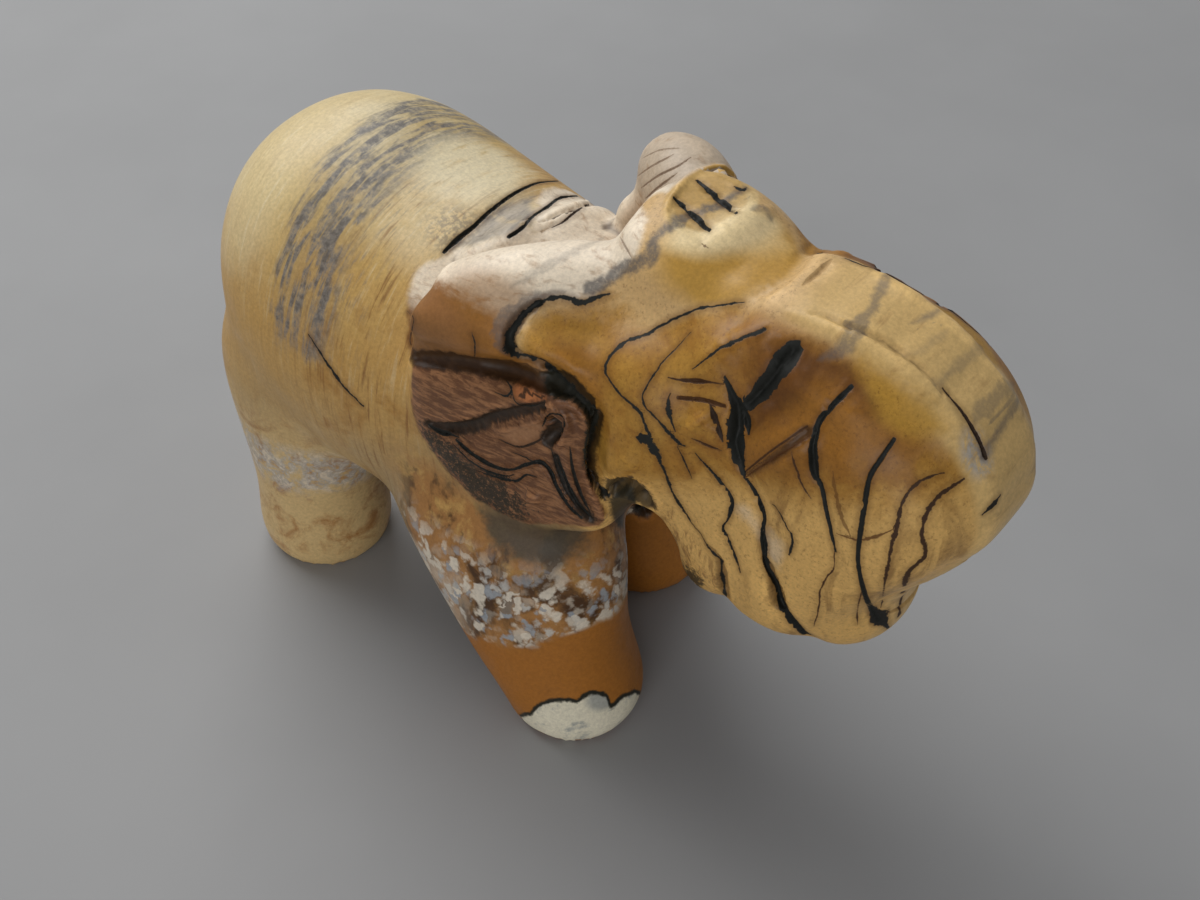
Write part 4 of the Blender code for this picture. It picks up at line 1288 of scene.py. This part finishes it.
def make_stone(settings, tints):
    """Polished banded agate."""
    material = bpy.data.materials.new("banded agate")
    material.use_nodes = True
    material.node_tree.nodes.clear()
    b = StoneBench(material.node_tree)
    colour = paint_body(b, tints)
    colour = paint_band(b, colour, tints)
    colour = paint_nape(b, colour, tints)
    colour = paint_hind_legs(b, colour, tints)
    colour = paint_front_legs(b, colour, tints)
    colour = paint_head(b, colour, tints)
    colour = paint_ears(b, colour, tints)
    dust = b.noise(3.4, 4.0, 0.7, seed=23)
    colour = b.shade(colour, b.ramp(dust, 0.2, 0.8, 0.84, 1.14))
    colour = shade_hollows_lighten_ridges(b, colour, tints)
    colour, lines = paint_lines(b, colour, tints)
    gloss = b.noise(0.5, 4.0, 0.6, seed=24)
    polish = b.ramp(gloss, 0.3, 0.7, settings.roughness - 0.06, settings.roughness + 0.08)
    roughness = b.sum_of(polish, (lines, 0.2))
    pits = b.noise(4.2, 3.0, 0.6, seed=25)
    height = b.sum_of((lines, -0.6), (pits, 0.16), (dust, 0.1))
    bump = b.node("ShaderNodeBump", {"Strength": 0.35, "Distance": 0.12 * MM, "Height": height}).outputs[0]
    inputs = {"Base Color": colour, "Roughness": roughness, "Normal": bump}
    inputs |= {"IOR": QUARTZ_IOR, "Specular IOR Level": WORN_GLOSS}
    shader = b.node("ShaderNodeBsdfPrincipled", inputs)
    b.node("ShaderNodeOutputMaterial", {0: shader.outputs[0]})
    return material


def tint(name, colour, description):
    """A stone colour that a user can change."""
    return FloatVectorProperty(
        name=name, description=description, default=(*colour, 1.0), size=4, min=0, max=1, subtype="COLOR"
    )


class AgateTints(bpy.types.PropertyGroup):
    """The colours of the stone."""

    flank: tint("Flank", (0.51, 0.3, 0.09), "Honey colour of the flanks")
    flank_low: tint("Low flank", (0.32, 0.23, 0.12), "Brown of the belly and the lower flanks")
    rump: tint("Rump", (0.6, 0.43, 0.16), "Pale yellow of the rump")
    # Also laid as a painted highlight on the withers.
    cream: tint("Cream", (0.76, 0.66, 0.44), "Palest streaks")
    bark: tint("Bark", (0.22, 0.1, 0.03), "Brown grain")
    smoke: tint("Smoke", (0.21, 0.195, 0.18), "Grey of the band over the back")
    smoke_dark: tint("Dark smoke", (0.1, 0.095, 0.095), "Darkest grey of the bands")
    ochre: tint("Ochre", (0.42, 0.215, 0.036), "Yellow of the cheeks")
    amber: tint("Amber", (0.28, 0.115, 0.015), "Warm brown of the trunk")
    # Also laid as painted shadow under the trunk's rolled shoulder and as painted shade beside the cuts;
    # elsewhere the stone's own dark amber.
    amber_dark: tint("Dark amber", (0.1, 0.034, 0.005), "Stain under the rolled shoulder of the trunk")
    honey: tint("Honey", (0.6, 0.39, 0.17), "Top of the head")
    # Its paleness is partly painted light on the low parts.
    jaw: tint("Jaw", (0.67, 0.405, 0.13), "Pale honey of the jaw, the lip and the low front of the trunk")
    gold: tint("Gold", (0.46, 0.25, 0.036), "Golden bulge of the trunk and side of its tip")
    strip: tint("Strip", (0.63, 0.42, 0.165), "Ringed strip on the front of the trunk")
    tip: tint("Tip", (0.82, 0.64, 0.35), "Tip of the trunk")
    facet: tint("Facet", (0.5, 0.31, 0.1), "Flat face round the nostrils")
    nape: tint("Nape", (0.38, 0.33, 0.27), "Between the creases of the nape")
    ear_pink: tint("Ear pink", (0.8, 0.68, 0.52), "Rolled tops of the ears")
    ear_tan: tint("Ear tan", (0.48, 0.34, 0.22), "Ridges on the rolled tops")
    ear_roll: tint("Ear roll", (0.28, 0.125, 0.04), "Outer flank of the rolled tops")
    ear_brown: tint("Ear brown", (0.3, 0.14, 0.06), "Paler parts of the ear fans")
    ear_fan: tint("Ear fan", (0.13, 0.055, 0.024), "Dark parts of the ear fans")
    ear_leaf: tint("Ear leaf", (0.32, 0.16, 0.075), "Paler leaf at the foot of the ear fans")
    rust: tint("Rust", (0.42, 0.15, 0.05), "Red patch on the ear fan")
    # Also laid as painted shade in the jaw's hollow and along the ear's seam.
    moss: tint("Moss", (0.018, 0.017, 0.01), "Dark inclusions")
    leg: tint("Leg", (0.36, 0.17, 0.05), "Upper front legs")
    leg_dark: tint("Dark leg", (0.06, 0.026, 0.009), "Mottling of the front legs")
    # Laid as painted shadow under the ears, with the leg's dark mottling.
    olive: tint("Olive", (0.07, 0.055, 0.035), "Dark stain under the ears")
    # Also laid on the lip, partly as a painted reflection.
    crystal: tint("Crystal", (0.7, 0.62, 0.5), "Pale crystals in the legs")
    # Also laid as a painted highlight on the trunk's low front.
    crystal_blue: tint("Blue crystal", (0.32, 0.34, 0.36), "Grey-blue crystals in the legs")
    orange: tint("Orange", (0.36, 0.135, 0.019), "Burnt orange above the toes")
    toe: tint("Toe", (0.74, 0.68, 0.52), "Cream patch of the front toes")
    toe_grey: tint("Grey toe", (0.3, 0.31, 0.29), "Grey in the toe patch")
    hind: tint("Hind foot", (0.6, 0.42, 0.19), "Ochre hind feet")
    # Also the black of the painted shade in the deepest folds.
    vein: tint("Vein", (0.01, 0.0105, 0.008), "Veins and stained cuts")
    # Laid as painted shade in the fine hollows and in the broad folds.
    painted_shade: tint("Wax", (0.05, 0.02, 0.006), "Old wax in the hollows")


class AgateCarving(bpy.types.PropertyGroup):
    """The fineness of the skin and the depth of the carving."""

    grain: FloatProperty(
        name="Skin grain", description="Edge length of the plain skin", default=0.0005, unit="LENGTH"
    )
    polish: IntProperty(name="Polish", description="Rounds of smoothing before the cuts", default=14)
    fold_depth: FloatProperty(name="Fold depth", description="Scale of the broad folds' depth", default=1.0)
    cut_depth: FloatProperty(name="Cut depth", description="Scale of the fine cuts' depth", default=1.0)
    seed: IntProperty(name="Seed", description="Start of the strokes' random wander", default=7, min=1)
    twin_drift: FloatProperty(
        name="Twin drift", description="How far the left side's strokes stray, in mm", default=0.6
    )
    vein_drift: FloatProperty(
        name="Vein drift", description="How far the left side's veins stray, in mm", default=2.5
    )
    roughness: FloatProperty(
        name="Roughness", description="Roughness of the polished stone", default=0.42, subtype="FACTOR"
    )


class AgateStage(bpy.types.PropertyGroup):
    """The floor and the lights."""

    floor_size: FloatProperty(name="Floor", description="Width of the floor", default=3.0, unit="LENGTH")
    floor_colour: tint("Floor", (0.3, 0.3, 0.3), "Plain grey floor")
    key_power: FloatProperty(name="Key light", description="Power of the light overhead", default=3.2)
    fill_power: FloatProperty(name="Fill light", description="Power of the low light", default=1.3)
    sky: FloatProperty(name="Sky", description="Strength of the light from all round", default=0.22)


class AGATE_OT_elephant(bpy.types.Operator):
    """Carve, vein and polish the agate elephant"""

    bl_idname = "agate.elephant"
    bl_label = "Carve the Elephant"

    def execute(self, context):
        settings = context.scene.agate_carving
        stone = make_stone(settings, context.scene.agate_tints)
        noise.seed_set(settings.seed)
        obj = merged_copy()
        tumble(obj, settings.grain, settings.polish)
        grind_flat(obj.data, AREAS["tip_facet"], sink=0.15, blend=0.5)
        group = stroke_press()
        tree = skin_tree(obj.data)
        folds, fold_twins = lay_strokes(tree, BROAD_FOLDS, settings.twin_drift, tremble=0.0)
        refine(obj.data, folds, reach=0.9, longest=0.35)
        press(obj, group, stone, "fold", folds + fold_twins, settings.fold_depth, roundness=2.0, margin=0.5)
        tree = skin_tree(obj.data)
        cuts, cut_twins = lay_strokes(tree, FINE_CUTS, settings.twin_drift, tremble=0.3)
        cuts += front_rings(tree)
        veins, vein_twins = lay_strokes(tree, DARK_VEINS, settings.vein_drift, tremble=1.0, wander=0.7)
        smoke, smoke_twins = lay_strokes(tree, SMOKE_STRIPES, settings.vein_drift, tremble=1.5)
        refine(obj.data, cuts + cut_twins + veins + vein_twins, reach=0.6, longest=0.3)
        refine(obj.data, cuts + veins, reach=0.37, longest=0.15)
        press(obj, group, stone, "cut", cuts + cut_twins, settings.cut_depth, roundness=1.0, margin=0.17)
        press(obj, group, stone, "vein", veins + vein_twins, depth=0.0, roundness=1.0, margin=0.3)
        press(obj, group, stone, "smoke", smoke + smoke_twins, depth=0.0, roundness=1.0, margin=0.7)
        finish_mesh(obj.data)
        mark_areas(obj.data)
        mark_hollows(obj.data, "fine_hollow", rounds=6)
        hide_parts(SOLID_NAME)
        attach(obj, "root")
        return {"FINISHED"}


def finish_mesh(mesh):
    """Turns the skin into triangles, shades it smooth and checks that it is closed."""
    bm = bmesh.new()
    bm.from_mesh(mesh)
    to_triangles(bm)
    bmesh.ops.recalc_face_normals(bm, faces=bm.faces)
    open_edges = sum(1 for edge in bm.edges if not edge.is_manifold)
    bm.to_mesh(mesh)
    bm.free()
    if open_edges:
        raise RuntimeError(f"the skin has {open_edges} open edges")
    mesh.shade_smooth()
    print(f"skin: {len(mesh.polygons)} triangles")


def aim(obj, place, target):
    """Puts an object at a place, with its own -Z pointing at a target, both in metres."""
    turn = (Vector(target) - Vector(place)).to_track_quat("-Z", "Y").to_matrix()
    obj.matrix_world = Matrix.Translation(place) @ turn.to_4x4()


def soft_light(name, place, target, size, power):
    """A square area light."""
    data = bpy.data.lights.new(name, "AREA")
    data.size = size
    data.energy = power
    obj = bpy.data.objects.new(name, data)
    bpy.context.scene.collection.objects.link(obj)
    aim(obj, place, target)


def photo_camera():
    """A camera at the photograph's viewpoint."""
    data = bpy.data.cameras.new("camera")
    data.sensor_fit = "HORIZONTAL"
    data.sensor_width = SENSOR_WIDTH
    data.lens = FOCAL_PIXELS / PHOTO_WIDTH * SENSOR_WIDTH
    data.clip_start = 0.002
    data.clip_end = 20.0
    camera = bpy.data.objects.new("camera", data)
    bpy.context.scene.collection.objects.link(camera)
    right, up, ahead = photo_axes()
    turn = Matrix((right, up, -ahead)).transposed().to_4x4()
    camera.matrix_world = Matrix.Translation(Vector(CAMERA_PLACE) * MM) @ turn
    bpy.context.scene.camera = camera


def floor_material(colour):
    """A matt floor with the faintest mottling."""
    material = bpy.data.materials.new("studio floor")
    material.use_nodes = True
    material.node_tree.nodes.clear()
    b = StoneBench(material.node_tree)
    cloud = b.noise(0.02, 4.0, 0.6)
    paint = b.shade(tuple(colour)[:3], b.ramp(cloud, 0.3, 0.7, 0.96, 1.04))
    shader = b.node("ShaderNodeBsdfPrincipled", {"Base Color": paint, "Roughness": 0.7})
    b.node("ShaderNodeOutputMaterial", {0: shader.outputs[0]})
    return material


def lay_floor(settings):
    half = settings.floor_size / 2
    corners = ((-half, -half, 0), (half, -half, 0), (half, half, 0), (-half, half, 0))
    mesh = bpy.data.meshes.new("studio_floor")
    mesh.from_pydata(corners, [], [(0, 1, 2, 3)])
    floor = bpy.data.objects.new("studio_floor", mesh)
    bpy.context.scene.collection.objects.link(floor)
    mesh.materials.append(floor_material(settings.floor_colour))


def light_sky(strength):
    world = bpy.data.worlds.new("studio sky")
    world.use_nodes = True
    background = world.node_tree.nodes["Background"]
    background.inputs["Color"].default_value = SKY_COLOUR
    background.inputs["Strength"].default_value = strength
    bpy.context.scene.world = world


class AGATE_OT_stage(bpy.types.Operator):
    """Lay the floor, hang the lights and set up the camera"""

    bl_idname = "agate.stage"
    bl_label = "Set the Stage"

    def execute(self, context):
        settings = context.scene.agate_stage
        lay_floor(settings)
        light_sky(settings.sky)
        soft_light("key light", KEY_PLACE, KEY_TARGET, KEY_SIZE, settings.key_power)
        soft_light("fill light", FILL_PLACE, FILL_TARGET, FILL_SIZE, settings.fill_power)
        photo_camera()
        context.scene.view_settings.view_transform = "Standard"
        return {"FINISHED"}


class AGATE_PT_panel(bpy.types.Panel):
    """Buttons and settings of the agate elephant"""

    bl_idname = "AGATE_PT_panel"
    bl_label = "Agate Elephant"
    bl_space_type = "VIEW_3D"
    bl_region_type = "UI"
    bl_category = "Agate Elephant"

    def draw(self, context):
        for label, holder, operator in (
            ("Carving", context.scene.agate_carving, AGATE_OT_elephant),
            ("Colours", context.scene.agate_tints, None),
            ("Stage", context.scene.agate_stage, AGATE_OT_stage),
        ):
            box = self.layout.box()
            box.label(text=label)
            for name in type(holder).__annotations__:
                box.prop(holder, name)
            if operator:
                box.operator(operator.bl_idname)


CLASSES = (AgateTints, AgateCarving, AgateStage, AGATE_OT_elephant, AGATE_OT_stage, AGATE_PT_panel)
HOLDERS = {"agate_tints": AgateTints, "agate_carving": AgateCarving, "agate_stage": AgateStage}


def register():
    for cls in CLASSES:
        bpy.utils.register_class(cls)
    for name, holder in HOLDERS.items():
        setattr(bpy.types.Scene, name, PointerProperty(type=holder))


def unregister():
    for name in HOLDERS:
        delattr(bpy.types.Scene, name)
    for cls in reversed(CLASSES):
        bpy.utils.unregister_class(cls)


def main():
    register()
    bpy.ops.agate.elephant()
    bpy.ops.agate.stage()


if __name__ == "__main__":
    main()
